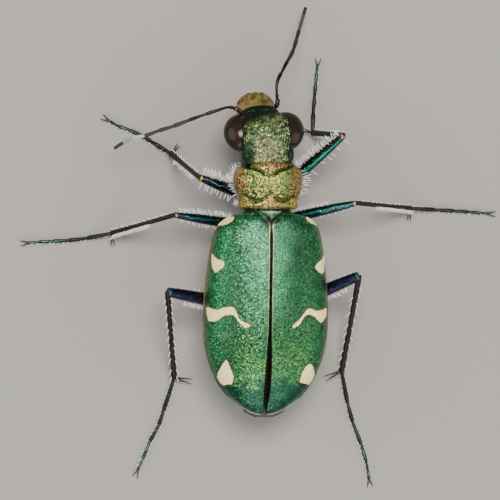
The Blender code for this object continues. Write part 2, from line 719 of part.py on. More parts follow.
def tibia(leg, spec):
    """The shin, starting clear of the bent knee, with two spurs at its end."""
    hip, knee, ankle = (Vector(spec[joint]) for joint in ("hip", "knee", "ankle"))
    along = (ankle - knee).normalized()
    bend = along.angle(hip - knee)
    clear = FEMUR_RADII[-1][1] + TIBIA_RADII[0][1] + GAP
    start = knee + along * clear / math.sin(min(bend, math.pi / 2))
    foot = shin_end(spec)
    piece = limb(f"tibia_{leg}", start, foot, TIBIA_RADII, TIBIA_RINGS, FOOT_SIDES, "tibia")
    spurs = []
    for turn in (-SPUR_SPREAD, SPUR_SPREAD):
        way = Vector((*spec["spurs"], -SPUR_DROP)).normalized()
        way.rotate(Matrix.Rotation(turn, 3, "Z"))
        path = [foot + way * SPUR_LENGTH * share for share in SPUR_SHARES]
        spurs.append(tube("spur", path, SPUR_RADII, SPINE_SIDES))
    apply_boolean(piece, "UNION", spurs)
    return piece


def tarsus(leg, spec):
    """The foot: five joints that lie on the floor, and a pair of claws."""
    ankle = Vector((*spec["ankle"][:2], TARSUS_ROOT_HEIGHT))
    toes = [Vector((*toe, TARSUS_HEIGHT)) for toe in spec["toes"]]
    way = (toes[0] - ankle).normalized()
    from_shin = ankle - shin_end(spec)
    reach = TIBIA_RADII[-1][1] + GAP + TARSUS_WAIST
    inward = from_shin.dot(way)
    start = ankle + way * (math.sqrt(inward**2 - from_shin.length_squared + reach**2) - inward)
    joints = [start] + toes
    path, widths = [start], [TARSUS_WAIST]
    for i, (near, far) in enumerate(zip(joints, joints[1:])):
        shrink = 1 - TARSUS_THINNING * i / (len(toes) - 1)
        path += [near.lerp(far, share) for share in TARSUS_FULL] + [far]
        widths += [TARSUS_WAIST * shrink, TARSUS_THICK * shrink, TARSUS_WAIST * shrink]
    widths[-1] = TARSUS_TIP
    piece = tube(f"tarsus_{leg}", path, widths, FOOT_SIDES, "tarsus", floor=True)
    ahead = (toes[-1] - toes[-2]).normalized()
    claws = []
    for turn in (-CLAW_SPREAD, CLAW_SPREAD):
        way = ahead.copy()
        way.rotate(Matrix.Rotation(turn, 3, "Z"))
        root = toes[-1]
        middle = root + way * CLAW_LENGTH * CLAW_BEND + UP * CLAW_RISE
        inwards = way.lerp(ahead, 1 - CLAW_TURN).normalized()
        end = root + inwards * CLAW_LENGTH - UP * CLAW_DROP
        claws.append(tube("claw", (root, middle, end), CLAW_RADII, SPINE_SIDES, floor=True))
    apply_boolean(piece, "UNION", claws)
    return piece


def finish_meshes():
    """Scale every mesh to metres and shade it smooth up to its sharp edges."""
    for piece in bpy.data.objects:
        if piece.type == "MESH":
            piece.data.transform(Matrix.Scale(METRES_PER_MM, 4))
            piece.data.shade_smooth()
            piece.data.set_sharp_from_angle(angle=SHARP_ANGLE)


def build():
    clear_scene()
    head()
    for side, word in ((-1, "left"), (1, "right")):
        place_on_head(half_eye(f"eye_{word}", side, 0, "eye"))
        place_on_head(mouthpart(f"mandible_{word}", side, MANDIBLE, MANDIBLE_RADII))
        place_on_head(mouthpart(f"maxilla_{word}", side, MAXILLA, MAXILLA_RADII))
        elytron(f"elytron_{word}", side)
    labrum()
    labium()
    antenna("antenna_left", ANTENNA_LEFT)
    antenna("antenna_right", ANTENNA_RIGHT)
    front = prothorax()
    middle = thorax()
    back = abdomen()
    for leg, spec in LEGS.items():
        coxa(leg, spec)
        femur(leg, spec)
        tibia(leg, spec)
        tarsus(leg, spec)
    carved = {"front": [front], "mid": [middle], "hind": [middle, back]}
    for pair, bodies in carved.items():
        for body in bodies:
            sockets = [coxa_socket(LEGS[f"{pair}_{word}"]) for word in ("left", "right")]
            apply_boolean(body, "DIFFERENCE", sockets)
    finish_meshes()


build()
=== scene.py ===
"""The looks of a green tiger beetle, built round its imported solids.

Shapes are written in millimetres in the solids' frame, +Y towards the head and +Z up,
and each finished mesh is scaled to metres. Shared sizes repeat the solids' own values.
"""

import math
from collections import namedtuple
from functools import cached_property

import bmesh
import bpy
import numpy as np
from mathutils import Matrix, Vector


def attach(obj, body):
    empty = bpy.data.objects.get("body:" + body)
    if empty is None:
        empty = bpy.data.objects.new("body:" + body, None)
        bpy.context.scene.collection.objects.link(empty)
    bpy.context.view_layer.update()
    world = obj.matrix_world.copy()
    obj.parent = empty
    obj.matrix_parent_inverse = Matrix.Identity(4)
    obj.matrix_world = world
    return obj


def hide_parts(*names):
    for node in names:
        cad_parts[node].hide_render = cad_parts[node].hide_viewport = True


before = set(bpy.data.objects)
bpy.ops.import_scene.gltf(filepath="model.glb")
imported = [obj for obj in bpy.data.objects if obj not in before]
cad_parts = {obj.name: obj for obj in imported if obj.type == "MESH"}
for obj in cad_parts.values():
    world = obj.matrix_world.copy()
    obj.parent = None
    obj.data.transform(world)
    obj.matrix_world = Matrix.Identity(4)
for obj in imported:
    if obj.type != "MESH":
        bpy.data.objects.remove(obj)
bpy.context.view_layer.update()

METRES_PER_MM = 0.001
PER_MM = 1000.0
UP = np.array((0.0, 0.0, 1.0))
# Which way x runs from the midline on each side
SIGN = {"left": -1, "right": 1}

# Camera: where it looks, how far away it stands, its tilt to the left and its scale
VIEW_TARGET = (-0.739, -0.15, 3.7)
VIEW_DISTANCE = 240.0
VIEW_TILT = math.radians(5)
IMAGE_PIXELS = 500
MM_PER_PIXEL = 0.04644
SENSOR = 36.0

# Wing cases, from the scutellum round the outline to the tip: outline x and y, rim
# height, then the x and y of the inner edge that each place is joined to
WING_STATIONS = (
    (0.50, 1.50, 4.26, 0.38, 1.43), (0.78, 1.51, 4.20, 0.22, 1.27), (1.15, 1.49, 4.08, 0.08, 1.13),
    (1.65, 1.41, 3.85, 0.025, 0.98), (2.02, 1.22, 3.62, 0.025, 0.84), (2.29, 0.95, 3.48, 0.025, 0.66),
    (2.47, 0.50, 3.36, 0.025, 0.38), (2.64, -0.39, 3.25, 0.025, -0.45), (2.80, -1.70, 3.21, 0.025, -1.7),
    (2.88, -3.2, 3.2, 0.03, -3.2), (2.81, -4.5, 3.21, 0.035, -4.4), (2.55, -5.5, 3.24, 0.04, -5.3),
    (2.16, -6.32, 3.26, 0.05, -6.0), (1.62, -7.0, 3.3, 0.055, -6.55), (1.22, -7.33, 3.32, 0.055, -6.9),
    (0.80, -7.6, 3.34, 0.05, -7.25), (0.42, -7.75, 3.35, 0.05, -7.5), (0.14, -7.79, 3.37, 0.05, -7.66),
)
# Height of the arch beside the seam at each y
WING_RIDGE = (
    (-7.73, 3.50), (-7.0, 3.95), (-6.0, 4.42), (-4.5, 4.83), (-2.5, 4.98), (0.0, 4.83), (1.0, 4.58),
    (1.48, 4.35),
)
# The arch's power, the thickness, rays round the outline, steps across and the inner face's inset
WING_POWER = 2.2
WING_THICK = 0.14
WING_RAYS = 260
WING_STEPS = 72
WING_FOLD = 0.26
# Width of a grain of the shell's colour
WING_GRAIN = 0.055
# First steps across from the seam, and the rolled rim's steps outwards and up
SEAM_SHARES = (0, 0.004, 0.009, 0.016, 0.026, 0.04)
RIM_PROFILE = ((0.014, -0.01), (0.034, -0.01), (0.05, -0.04), (0.042, -0.08), (0.0, -0.1))
# The shoulder: x and y, width and height
SHOULDER_BUMP = ((1.72, 0.72), 0.42, 0.05)
# The midline leans: its x at one y, and how far it drifts with each mm of y
MIDLINE_X = 0.03
MIDLINE_Y = -3.0
MIDLINE_DRIFT = 0.015
# How far the seam wanders sideways at each y
SEAM_SHIFT = (
    (-7.8, 0), (-7.2, 0.03), (-6.3, 0.064), (-4.4, 0.076), (-2.1, 0.078), (0.7, 0.096), (1.5, 0.108),
)

# Cream marks on each wing case: distance from the midline and y, in mm
MARKS = {
    "left": (
        ((2.36, 1.0), (2.2, 1.27), (1.92, 1.42), (1.58, 1.41), (1.65, 1.22), (1.9, 1.07), (2.15, 0.98)),
        (
            (2.57, -0.29), (2.63, -0.59), (2.58, -0.99), (2.47, -1.25), (2.33, -1.11), (2.1, -0.97),
            (2.04, -0.78), (2.1, -0.65), (2.33, -0.58), (2.47, -0.45),
        ),
        (
            (2.83, -2.74), (2.55, -2.88), (2.32, -2.93), (2.13, -2.83), (1.89, -2.8), (1.65, -2.77),
            (1.54, -2.88), (1.44, -3.15), (1.36, -3.33), (1.19, -3.47), (0.99, -3.53), (0.82, -3.63),
            (0.86, -3.74), (1.1, -3.74), (1.31, -3.57), (1.44, -3.39), (1.54, -3.24), (1.69, -3.14),
            (1.88, -3.15), (2.07, -3.2), (2.21, -3.32), (2.4, -3.45), (2.6, -3.48), (2.76, -3.42),
        ),
        (
            (1.89, -5.2), (2.01, -5.37), (2.1, -5.57), (2.24, -5.8), (2.25, -6.04), (2.13, -6.3),
            (1.94, -6.47), (1.8, -6.38), (1.58, -6.38), (1.52, -6.12), (1.56, -5.87), (1.71, -5.57),
            (1.8, -5.36),
        ),
    ),
    "right": (
        ((1.71, 1.39), (2.03, 1.36), (2.34, 1.2), (2.45, 0.98), (2.18, 1.0), (1.87, 1.13)),
        (
            (2.73, -0.36), (2.55, -0.57), (2.23, -0.79), (2.16, -0.99), (2.37, -1.2), (2.55, -1.29),
            (2.72, -1.0), (2.75, -0.64),
        ),
        (
            (2.83, -2.8), (2.51, -2.94), (2.25, -2.97), (2.04, -2.87), (1.87, -2.86), (1.7, -2.96),
            (1.59, -3.19), (1.37, -3.45), (1.15, -3.61), (1.08, -3.73), (1.2, -3.78), (1.48, -3.58),
            (1.61, -3.33), (1.74, -3.2), (1.94, -3.13), (2.15, -3.23), (2.3, -3.36), (2.45, -3.55),
            (2.62, -3.45), (2.84, -3.2),
        ),
        (
            (1.98, -5.4), (1.85, -5.53), (1.67, -5.78), (1.61, -6.03), (1.54, -6.29), (1.82, -6.34),
            (2.05, -6.46), (2.22, -6.25), (2.32, -5.95), (2.24, -5.68), (2.1, -5.47),
        ),
    ),
}

# Body: half-widths and heights from the back to the front
SCUTELLUM = ((1.16, 0.02), (1.3, 0.15), (1.5, 0.34), (1.66, 0.5))
SCUTELLUM_TOP = 4.43
SCUTELLUM_THICK = 0.25
BODY_POWER = 2.2
THORAX_BACK = -2.75
ABDOMEN_TIP = -7.93
BODY_HALF_WIDTH = (
    (-7.93, 0.42), (-7.8, 0.74), (-7.35, 1.08), (-7.0, 1.3), (-6.3, 1.82), (-5.5, 2.2), (-4.5, 2.45),
    (-3.2, 2.52), (-1.7, 2.42), (-0.4, 2.26), (0.5, 2.1), (0.95, 1.92), (1.3, 1.45), (1.6, 1.15),
    (1.9, 0.95),
)
BODY_SIDE_Z = ((-7.93, 3.05), (-7.0, 3.1), (-5.0, 3.02), (0.0, 3.05), (1.2, 3.2), (1.9, 3.3))
BODY_TOP = (
    (-7.93, 3.12), (-7.6, 3.3), (-7.0, 3.6), (-6.0, 4.05), (-4.5, 4.5), (-2.5, 4.68), (0.0, 4.55),
    (1.0, 4.32), (1.45, 4.25), (1.9, 4.1),
)
BELLY = (
    (-7.93, 2.88), (-7.6, 2.74), (-7.0, 2.62), (-5.0, 2.4), (-2.6, 2.3), (0.5, 2.34), (1.45, 2.6), (1.9, 2.7),
)
STERNITE_EDGES = (-3.75, -4.6, -5.4, -6.15, -6.85, -7.45)
STERNITE_STEP = 0.07

PROTHORAX_X = 0.13
PROTHORAX_MID_Z = 3.45
PROTHORAX_BACK = 1.74
PROTHORAX_FRONT = 3.93
PROTHORAX_HALF_WIDTH = (
    (1.74, 1.2), (1.8, 1.28), (2.05, 1.32), (2.27, 1.37), (2.6, 1.49), (3.1, 1.57), (3.45, 1.55),
    (3.63, 1.47), (3.75, 1.3), (3.83, 1.2), (3.93, 1.14),
)
PROTHORAX_TOP = ((1.74, 4.3), (1.82, 4.38), (2.1, 4.44), (2.9, 4.56), (3.5, 4.5), (3.85, 4.38), (3.93, 4.32))
PROTHORAX_BOTTOM = ((1.74, 2.5), (2.5, 2.32), (3.3, 2.4), (3.93, 2.8))
# The shield's cross grooves: distance from its middle and y
FRONT_GROOVE = ((0, 3.3), (0.15, 3.36), (0.5, 3.55), (0.85, 3.68), (1.2, 3.76), (1.6, 3.8))
BACK_GROOVE = (
    (0, 2.36), (0.18, 2.25), (0.45, 2.16), (0.72, 2.13), (0.95, 2.22), (1.2, 2.42), (1.6, 2.6),
)
GROOVE_DEPTH = 0.1
GROOVE_WIDTH = 0.09

# Head, in its own frame from the neck: y forward, z up, then turned and tilted
NECK = (0.05, 4.17, 3.72)
HEAD_PITCH = math.radians(-20)
HEAD_ROLL = math.radians(6)
HEAD_TURN = math.radians(5)
HEAD_LENGTH = 2.46
HEAD_HALF_WIDTH = (
    (-0.45, 1.05), (-0.25, 1.18), (0, 1.24), (0.3, 1.23), (0.9, 1.2), (1.6, 1.19), (1.95, 1.1),
    (2.25, 0.92), (2.46, 0.78),
)
HEAD_TOP = ((-0.45, 0.6), (0, 0.72), (0.5, 0.82), (1.2, 0.78), (1.8, 0.58), (2.2, 0.34), (2.46, 0.2))
HEAD_BOTTOM = ((-0.45, 0.5), (0, 0.75), (0.7, 0.98), (1.4, 0.9), (1.85, 0.55), (2.15, 0.32), (2.46, 0.16))
EYE_CENTRE = (1.08, 1.26, 0.0)
EYE_RADII = (0.82, 0.91, 0.64)
EYE_INNER = 0.9
MOUTH_X = -0.2
LABRUM_HALF_WIDTH = 0.93
LABRUM_ROOT = 2.36
LABRUM_FRONT = 3.22
LABRUM_TEETH = (-0.36, 0, 0.36)
LABRUM_RIB_STEP = 0.36

# Mouthparts of the right side, in the head's frame: paths, tooth lines, radii along them
JAW = ((0.6, 2.1, -0.5), (0.68, 2.45, -0.62), (0.65, 2.75, -0.66), (0.45, 3.0, -0.66), (0.15, 3.12, -0.64))
JAW_LEVEL = -0.65
JAW_DROP = {"left": 0.0, "right": 0.06}
JAW_TEETH = (((0.6, 2.72), (0.28, 2.76)), ((0.5, 2.9), (0.18, 2.94)), ((0.64, 2.5), (0.34, 2.46)))
MAXILLA_BASE = ((0.55, 1.3, -0.75), (0.66, 1.8, -1.0), (0.7, 2.2, -1.15))
MAXILLA_PALP = ((0.64, 2.05, -1.1), (0.68, 2.4, -1.3), (0.62, 2.75, -1.42), (0.45, 3.0, -1.5))
MAXILLA_LOBE = ((0.7, 1.9, -1.0), (0.62, 2.4, -0.98), (0.42, 2.8, -0.92))
LABIUM_ROOT = ((0, 0.9, -0.95), (0, 1.3, -1.12), (0, 1.75, -1.2))
LABIUM_PALP = ((0.14, 1.6, -1.2), (0.34, 1.98, -1.42), (0.4, 2.5, -1.6), (0.34, 2.9, -1.72))

# Legs, as in the solids: coxa, hip, knee, ankle, ends of the foot joints, spur direction
Leg = namedtuple("Leg", "coxa hip knee ankle toes spurs")
LEGS = {
    "front_left": Leg(
        (-0.42, 2.48, 2.18), (-0.9, 2.44, 1.85), (-3.06, 3.22, 3.3), (-4.21, 4.42, 0.32),
        ((-4.97, 4.88), (-5.53, 5.24), (-6.1, 5.49), (-6.66, 5.69), (-7.12, 5.95)), (0.65, 0.76),
    ),
    "front_right": Leg(
        (0.68, 2.6, 2.18), (1.12, 2.9, 1.85), (3.69, 5.2, 3.3), (2.49, 5.37, 0.32),
        ((2.57, 6.31), (2.63, 7.02), (2.68, 7.63), (2.73, 8.2), (2.77, 8.55)), (-0.95, 0.3),
    ),
    "mid_left": Leg(
        (-0.62, 0.95, 2.15), (-1.12, 1.04, 1.78), (-4.2, 1.48, 3.0), (-7.05, 0.62, 0.32),
        ((-8.15, 0.4), (-9.02, 0.3), (-9.73, 0.26), (-10.38, 0.23), (-10.9, 0.19)), (0.1, -1.0),
    ),
    "mid_right": Leg(
        (0.8, 1.1, 2.15), (1.28, 1.34, 1.78), (4.3, 2.04, 3.0), (7.23, 1.81, 0.32),
        ((8.39, 1.75), (9.25, 1.7), (9.92, 1.66), (10.54, 1.61), (10.9, 1.58)), (-0.1, -1.0),
    ),
    "hind_left": Leg(
        (-0.82, -2.66, 2.2), (-1.42, -2.7, 1.88), (-4.56, -2.09, 3.42), (-4.02, -6.25, 0.32),
        ((-4.52, -7.73), (-4.73, -8.38), (-5.17, -9.18), (-5.49, -9.98), (-5.73, -10.52)), (1.0, -0.22),
    ),
    "hind_right": Leg(
        (0.9, -2.66, 2.2), (1.48, -2.67, 1.88), (4.42, -1.34, 3.2), (3.88, -5.93, 0.32),
        ((4.19, -7.34), (4.44, -8.28), (4.84, -9.3), (5.09, -10.16), (5.22, -11.0)), (-0.9, -0.45),
    ),
}
COXA_RADII = {"front": (0.36, 0.46, 0.48), "mid": (0.46, 0.46, 0.46), "hind": (0.62, 0.42, 0.4)}
COXA_SWELL = 1.12
# Radii at shares of each limb's length
FEMUR_RADII = {
    "front": ((0, 0.13), (0.1, 0.22), (0.35, 0.26), (0.7, 0.21), (0.93, 0.16), (1, 0.17)),
    "mid": ((0, 0.13), (0.1, 0.21), (0.35, 0.24), (0.7, 0.19), (0.93, 0.14), (1, 0.15)),
    "hind": ((0, 0.14), (0.1, 0.24), (0.35, 0.3), (0.7, 0.265), (0.93, 0.22), (1, 0.21)),
}
TIBIA_RADII = {
    "front": ((0, 0.11), (0.08, 0.12), (0.5, 0.13), (0.85, 0.15), (1, 0.165)),
    "mid": ((0, 0.1), (0.08, 0.11), (0.5, 0.11), (0.85, 0.125), (1, 0.14)),
    "hind": ((0, 0.12), (0.08, 0.13), (0.5, 0.12), (0.85, 0.14), (1, 0.16)),
}
# A femur's height beside its width
FEMUR_TALL = 1.12
TARSUS_RADII = (0.1, 0.095, 0.088, 0.078, 0.062)
TARSUS_WAIST = 0.72
TARSUS_ROOT = 0.16
TARSUS_HEIGHT = 0.11
ANKLE_HEIGHT = 0.2
CLAW_LENGTH = 0.39
# Each claw, from its root: along the foot, outwards (shares of its length) and up (mm)
CLAW_CURVE = ((-0.1, 0.02, 0.0), (0.3, 0.16, 0.05), (0.68, 0.28, 0.01), (1.0, 0.3, -0.08))
SPUR_LENGTH = {"front": 0.6, "mid": 0.62, "hind": 0.92}
SPUR_TURN = 0.14

# Feelers: points along each, and the shares of its length where its joints meet
ANTENNA_LEFT = (
    (-1.05, 6.22, 3.3), (-1.3, 6.38, 3.5), (-1.8, 6.47, 3.8), (-2.2, 6.35, 3.87), (-3.45, 5.92, 3.75),
    (-4.29, 5.6, 3.53), (-4.98, 5.38, 3.35), (-5.63, 5.15, 3.2), (-6.1, 5.07, 3.0), (-6.55, 4.86, 2.85),
    (-7.0, 4.57, 2.7),
)
ANTENNA_RIGHT = (
    (0.5, 6.45, 3.3), (0.56, 6.68, 3.5), (0.5, 7.15, 3.78), (0.5, 7.5, 3.77), (0.87, 8.32, 3.42),
    (1.31, 9.05, 2.8), (1.72, 10.12, 1.85), (2.13, 11.25, 0.93),
)
ANTENNA_JOINTS = (0.0, 0.085, 0.125, 0.3, 0.42, 0.54, 0.65, 0.757, 0.85, 0.92, 0.96, 1.0)

# The bristles' unwrap: tiles along each side of the picture, and a hair's patch in its tile
BAKE_TILES = 8
BAKE_PATCH = 0.003
BRISTLE_RADIUS = 0.03

# Down of the flanks: from y, to y, number of hairs and their length
DOWN = {"prothorax": (1.95, 3.9, 210, 0.42), "thorax": (-2.4, 1.3, 420, 0.3)}
DOWN_SEED = 40
DOWN_TILE = 8


def curve_value(stations, place, column=1):
    """Values at places on a smooth curve through stations, each (place, value, ...)."""
    places = np.array([station[0] for station in stations], float)
    values = np.array([station[column] for station in stations], float)
    slopes = np.gradient(values, places)
    place = np.clip(np.asarray(place, float), places[0], places[-1])
    i = np.clip(np.searchsorted(places, place) - 1, 0, len(places) - 2)
    width = places[i + 1] - places[i]
    t = (place - places[i]) / width
    near = (1 + 2 * t) * (1 - t) ** 2 * values[i] + t * (1 - t) ** 2 * width * slopes[i]
    far = t * t * (3 - 2 * t) * values[i + 1] + t * t * (t - 1) * width * slopes[i + 1]
    return near + far


def measured(points):
    """How far along a line of points each one stands, as shares of its length, and the length."""
    reached = np.concatenate(([0], np.cumsum(np.linalg.norm(np.diff(points, axis=0), axis=1))))
    return reached / reached[-1], reached[-1]


def path_value(points, share):
    """Points at shares of the length of a smooth curve through the given points."""
    stations = [(tick, *point) for tick, point in zip(measured(points)[0], points)]
    return np.stack([curve_value(stations, share, column) for column in (1, 2, 3)], -1)


def unit(vectors):
    vectors = np.asarray(vectors, float)
    return vectors / np.linalg.norm(vectors, axis=-1, keepdims=True)


def smooth_step(low, high, value):
    t = np.clip((value - low) / (high - low), 0, 1)
    return t * t * (3 - 2 * t)


def bump(value, centre, half_width):
    return np.exp(-(((value - centre) / half_width) ** 2))


def midline(y):
    return MIDLINE_X + MIDLINE_DRIFT * (np.asarray(y) - MIDLINE_Y)


def mirrored(side, points):
    """Points of the right side, carried to the side asked for."""
    return [(SIGN[side] * x, y, z) for x, y, z in points]


class Shape:
    """Gathers the points, faces and per-point values of one piece."""

    def __init__(self):
        self.points = []
        self.faces = []
        self.values = {}
        self.count = 0

    def add(self, points, faces, **values):
        for name in set(values) | set(self.values):
            column = self.values.setdefault(name, [np.zeros(self.count)] if self.count else [])
            column.append(np.broadcast_to(np.asarray(values.get(name, 0.0), float).ravel(), len(points)))
        self.points.append(points)
        self.faces += [tuple(int(i) + self.count for i in face) for face in faces]
        self.count += len(points)

    def rings(self, rings, **values):
        """A tube over rings of points, its ends closed by fans."""
        rows, sides = rings.shape[:2]
        faces = []
        for start in range(0, (rows - 1) * sides, sides):
            for i in range(sides):
                j = (i + 1) % sides
                faces.append((start + i, start + j, start + sides + j, start + sides + i))
        first, last = rows * sides, rows * sides + 1
        start = (rows - 1) * sides
        for i in range(sides):
            j = (i + 1) % sides
            faces += [(j, i, first), (start + i, start + j, last)]
        points = np.concatenate((rings.reshape(-1, 3), rings[[0, -1]].mean(1)))
        for name, value in values.items():
            value = np.broadcast_to(np.asarray(value, float), (rows, sides))
            values[name] = np.concatenate((value.ravel(), value[[0, -1]].mean(1)))
        self.add(points, faces, **values)

    def turned(self, matrix, shift=0.0):
        """Carries everything gathered so far sideways by a shift, then through a matrix."""
        matrix = np.array(matrix)
        self.points = [points + np.array((shift, 0, 0)) for points in self.points]
        self.points = [points @ matrix[:3, :3].T + matrix[:3, 3] for points in self.points]

    def piece(self, name, material, slot, *nodes):
        """The finished object, in metres, riding on the model and standing for its nodes."""
        mesh = bpy.data.meshes.new(name)
        points = np.concatenate(self.points) * METRES_PER_MM
        mesh.from_pydata(points.tolist(), [], self.faces)
        bm = bmesh.new()
        bm.from_mesh(mesh)
        bmesh.ops.recalc_face_normals(bm, faces=bm.faces)
        bm.to_mesh(mesh)
        bm.free()
        for value_name, columns in self.values.items():
            attribute = mesh.attributes.new(value_name, "FLOAT", "POINT")
            attribute.data.foreach_set("value", np.concatenate(columns).astype(np.float32))
        mesh.shade_smooth()
        mesh.materials.append(material)
        thing = bpy.data.objects.new(name, mesh)
        bpy.context.scene.collection.objects.link(thing)
        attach(thing, "root")
        if nodes:
            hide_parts(*nodes)
        return thing


def one_tube(rings, name, material, slot, *nodes, matrix=None, **values):
    """A piece that is a single tube, turned through a matrix where one is given."""
    shape = Shape()
    shape.rings(rings, **values)
    if matrix is not None:
        shape.turned(matrix)
    return shape.piece(name, material, slot, *nodes)


def ring_angles(sides):
    return 2 * math.pi * (np.arange(sides) + 0.5) / sides


def sweep(path, wide, tall, sides, lift=-math.inf):
    """Rings round a path: half-widths across it, level with the floor, and half-heights."""
    ahead = unit(np.gradient(path, axis=0))
    across = unit(np.cross(ahead, UP))
    above = np.cross(across, ahead)
    angles = ring_angles(sides)[None, :, None]
    wide = np.broadcast_to(wide, len(path))[:, None, None]
    tall = np.broadcast_to(tall, len(path))[:, None, None]
    ring = across[:, None] * np.cos(angles) * wide + above[:, None] * np.sin(angles) * tall
    rings = path[:, None] + ring
    rings[..., 2] = np.maximum(rings[..., 2], lift)
    return rings


def rounding(share, length, start, end):
    """How much a limb of a length narrows towards round ends of these reaches."""
    place = share * length
    first = np.clip(place / start, 0, 1) if start else 1
    last = np.clip((length - place) / end, 0, 1) if end else 1
    return np.sqrt(np.maximum(1 - (1 - first) ** 2, 0)) * np.sqrt(np.maximum(1 - (1 - last) ** 2, 0))


def eased(count, power=1.6):
    """Shares from 0 to 1 that crowd together at both ends."""
    t = np.linspace(-1, 1, count)
    return 0.5 + 0.5 * np.sign(t) * (1 - (1 - np.abs(t)) ** power)


class Signal:
    """A value or colour from a paint's nodes; arithmetic and ramps add further nodes."""

    def __init__(self, paint, socket):
        self.paint = paint
        self.socket = socket

    def __add__(self, other):
        return self.paint.math("ADD", self, other)

    def __sub__(self, other):
        return self.paint.math("SUBTRACT", self, other)

    def __rsub__(self, other):
        return self.paint.math("SUBTRACT", other, self)

    def __mul__(self, other):
        return self.paint.math("MULTIPLY", self, other)

    def __abs__(self):
        return self.paint.math("ABSOLUTE", self)

    def sine(self):
        return self.paint.math("SINE", self)

    def axis(self, name):
        return self.paint.node("ShaderNodeSeparateXYZ", name, {0: self})

    def ramp(self, low, high, start=0.0, end=1.0, kind="SMOOTHSTEP"):
        """The value carried from one range to another, held at its ends."""
        keys = {"Value": self, "From Min": low, "From Max": high, "To Min": start, "To Max": end}
        return self.paint.node("ShaderNodeMapRange", 0, keys, interpolation_type=kind)


class Paint:
    """A Principled material and the nodes that feed it."""

    def __init__(self, name, metallic=0.0, roughness=0.5, **settings):
        self.material = bpy.data.materials.new(name)
        self.material.use_nodes = True
        self.tree = self.material.node_tree
        self.shader = self.tree.nodes["Principled BSDF"]
        for socket, value in {"Metallic": metallic, "Roughness": roughness, **settings}.items():
            self.set(socket.replace("_", " "), value)

    def set(self, socket, value):
        """Sets a socket of the shader, or feeds it from a signal."""
        self.feed(self.shader.inputs[socket], value)

    def feed(self, socket, value):
        if isinstance(value, Signal):
            self.tree.links.new(value.socket, socket)
        else:
            socket.default_value = value

    def finish(self, colour, normal=None):
        self.set("Base Color", colour)
        if normal:
            self.set("Normal", normal)
        return self.material

    def node(self, kind, output=0, inputs=(), **settings):
        made = self.tree.nodes.new(kind)
        for name, value in settings.items():
            setattr(made, name, value)
        for key, value in dict(inputs).items():
            self.feed(made.inputs[key], value)
        return Signal(self, made.outputs[output])

    def math(self, operation, a, b=0.0):
        return self.node("ShaderNodeMath", 0, {0: a, 1: b}, operation=operation)

    def vector(self, operation, a, b=(0.0, 0.0, 0.0), scale=1.0):
        return self.node("ShaderNodeVectorMath", 0, {0: a, 1: b, 3: scale}, operation=operation)

    @cached_property
    def place(self):
        """Object coordinates in millimetres."""
        return self.vector("SCALE", self.node("ShaderNodeTexCoord", "Object"), scale=PER_MM)

    def value(self, name):
        """A value that the mesh carries at its points."""
        return self.node("ShaderNodeAttribute", "Fac", attribute_name=name)

    def mix(self, share, a, b):
        a, b = (tint if isinstance(tint, Signal) else (*tint, 1) for tint in (a, b))
        return self.node("ShaderNodeMix", 2, {0: share, 6: a, 7: b}, data_type="RGBA")

    def layered(self, colour, *layers):
        """A colour under layers, each (share, colour)."""
        for share, tint in layers:
            colour = self.mix(share, colour, tint)
        return colour

    def colours(self, value, stops, interpolation="LINEAR"):
        """A colour picked along stops, each (place, colour)."""
        made = self.tree.nodes.new("ShaderNodeValToRGB")
        band = made.color_ramp
        band.interpolation = interpolation
        while len(band.elements) < len(stops):
            band.elements.new(1)
        for element, (place, colour) in zip(band.elements, stops):
            element.position = place
            element.color = (*colour, 1)
        self.feed(made.inputs[0], value)
        return Signal(self, made.outputs[0])

    def noise(self, size, detail=2.0):
        keys = {"Vector": self.place, "Scale": 1 / size, "Detail": detail}
        return self.node("ShaderNodeTexNoise", "Fac", keys)

    def drift(self, size, reach, detail=2.0):
        """Noise between minus and plus a reach."""
        return self.noise(size, detail).ramp(0.3, 0.7, -reach, reach)

    def cells(self, size, output="Distance"):
        return self.node("ShaderNodeTexVoronoi", output, {"Vector": self.place, "Scale": 1 / size})

    def bump(self, height, depth, normal=None):
        """A normal bent by a height that spans a depth in mm."""
        keys = {"Height": height, "Strength": 1.0, "Distance": depth * METRES_PER_MM}
        if normal:
            keys["Normal"] = normal
        return self.node("ShaderNodeBump", 0, keys)

    def grains(self, size, lean, depth):
        """Metallic grains: a random share for each, and a normal that leans its own way in each."""
        cells = self.cells(size, "Color")
        away = self.vector("SCALE", self.vector("SUBTRACT", cells, (0.5, 0.5, 0.5)), scale=lean)
        leant = self.vector("ADD", self.node("ShaderNodeNewGeometry", "Normal"), away)
        normal = self.bump(1.0 - self.cells(size), depth, self.vector("NORMALIZE", leant))
        return cells.axis("X"), normal


# Materials

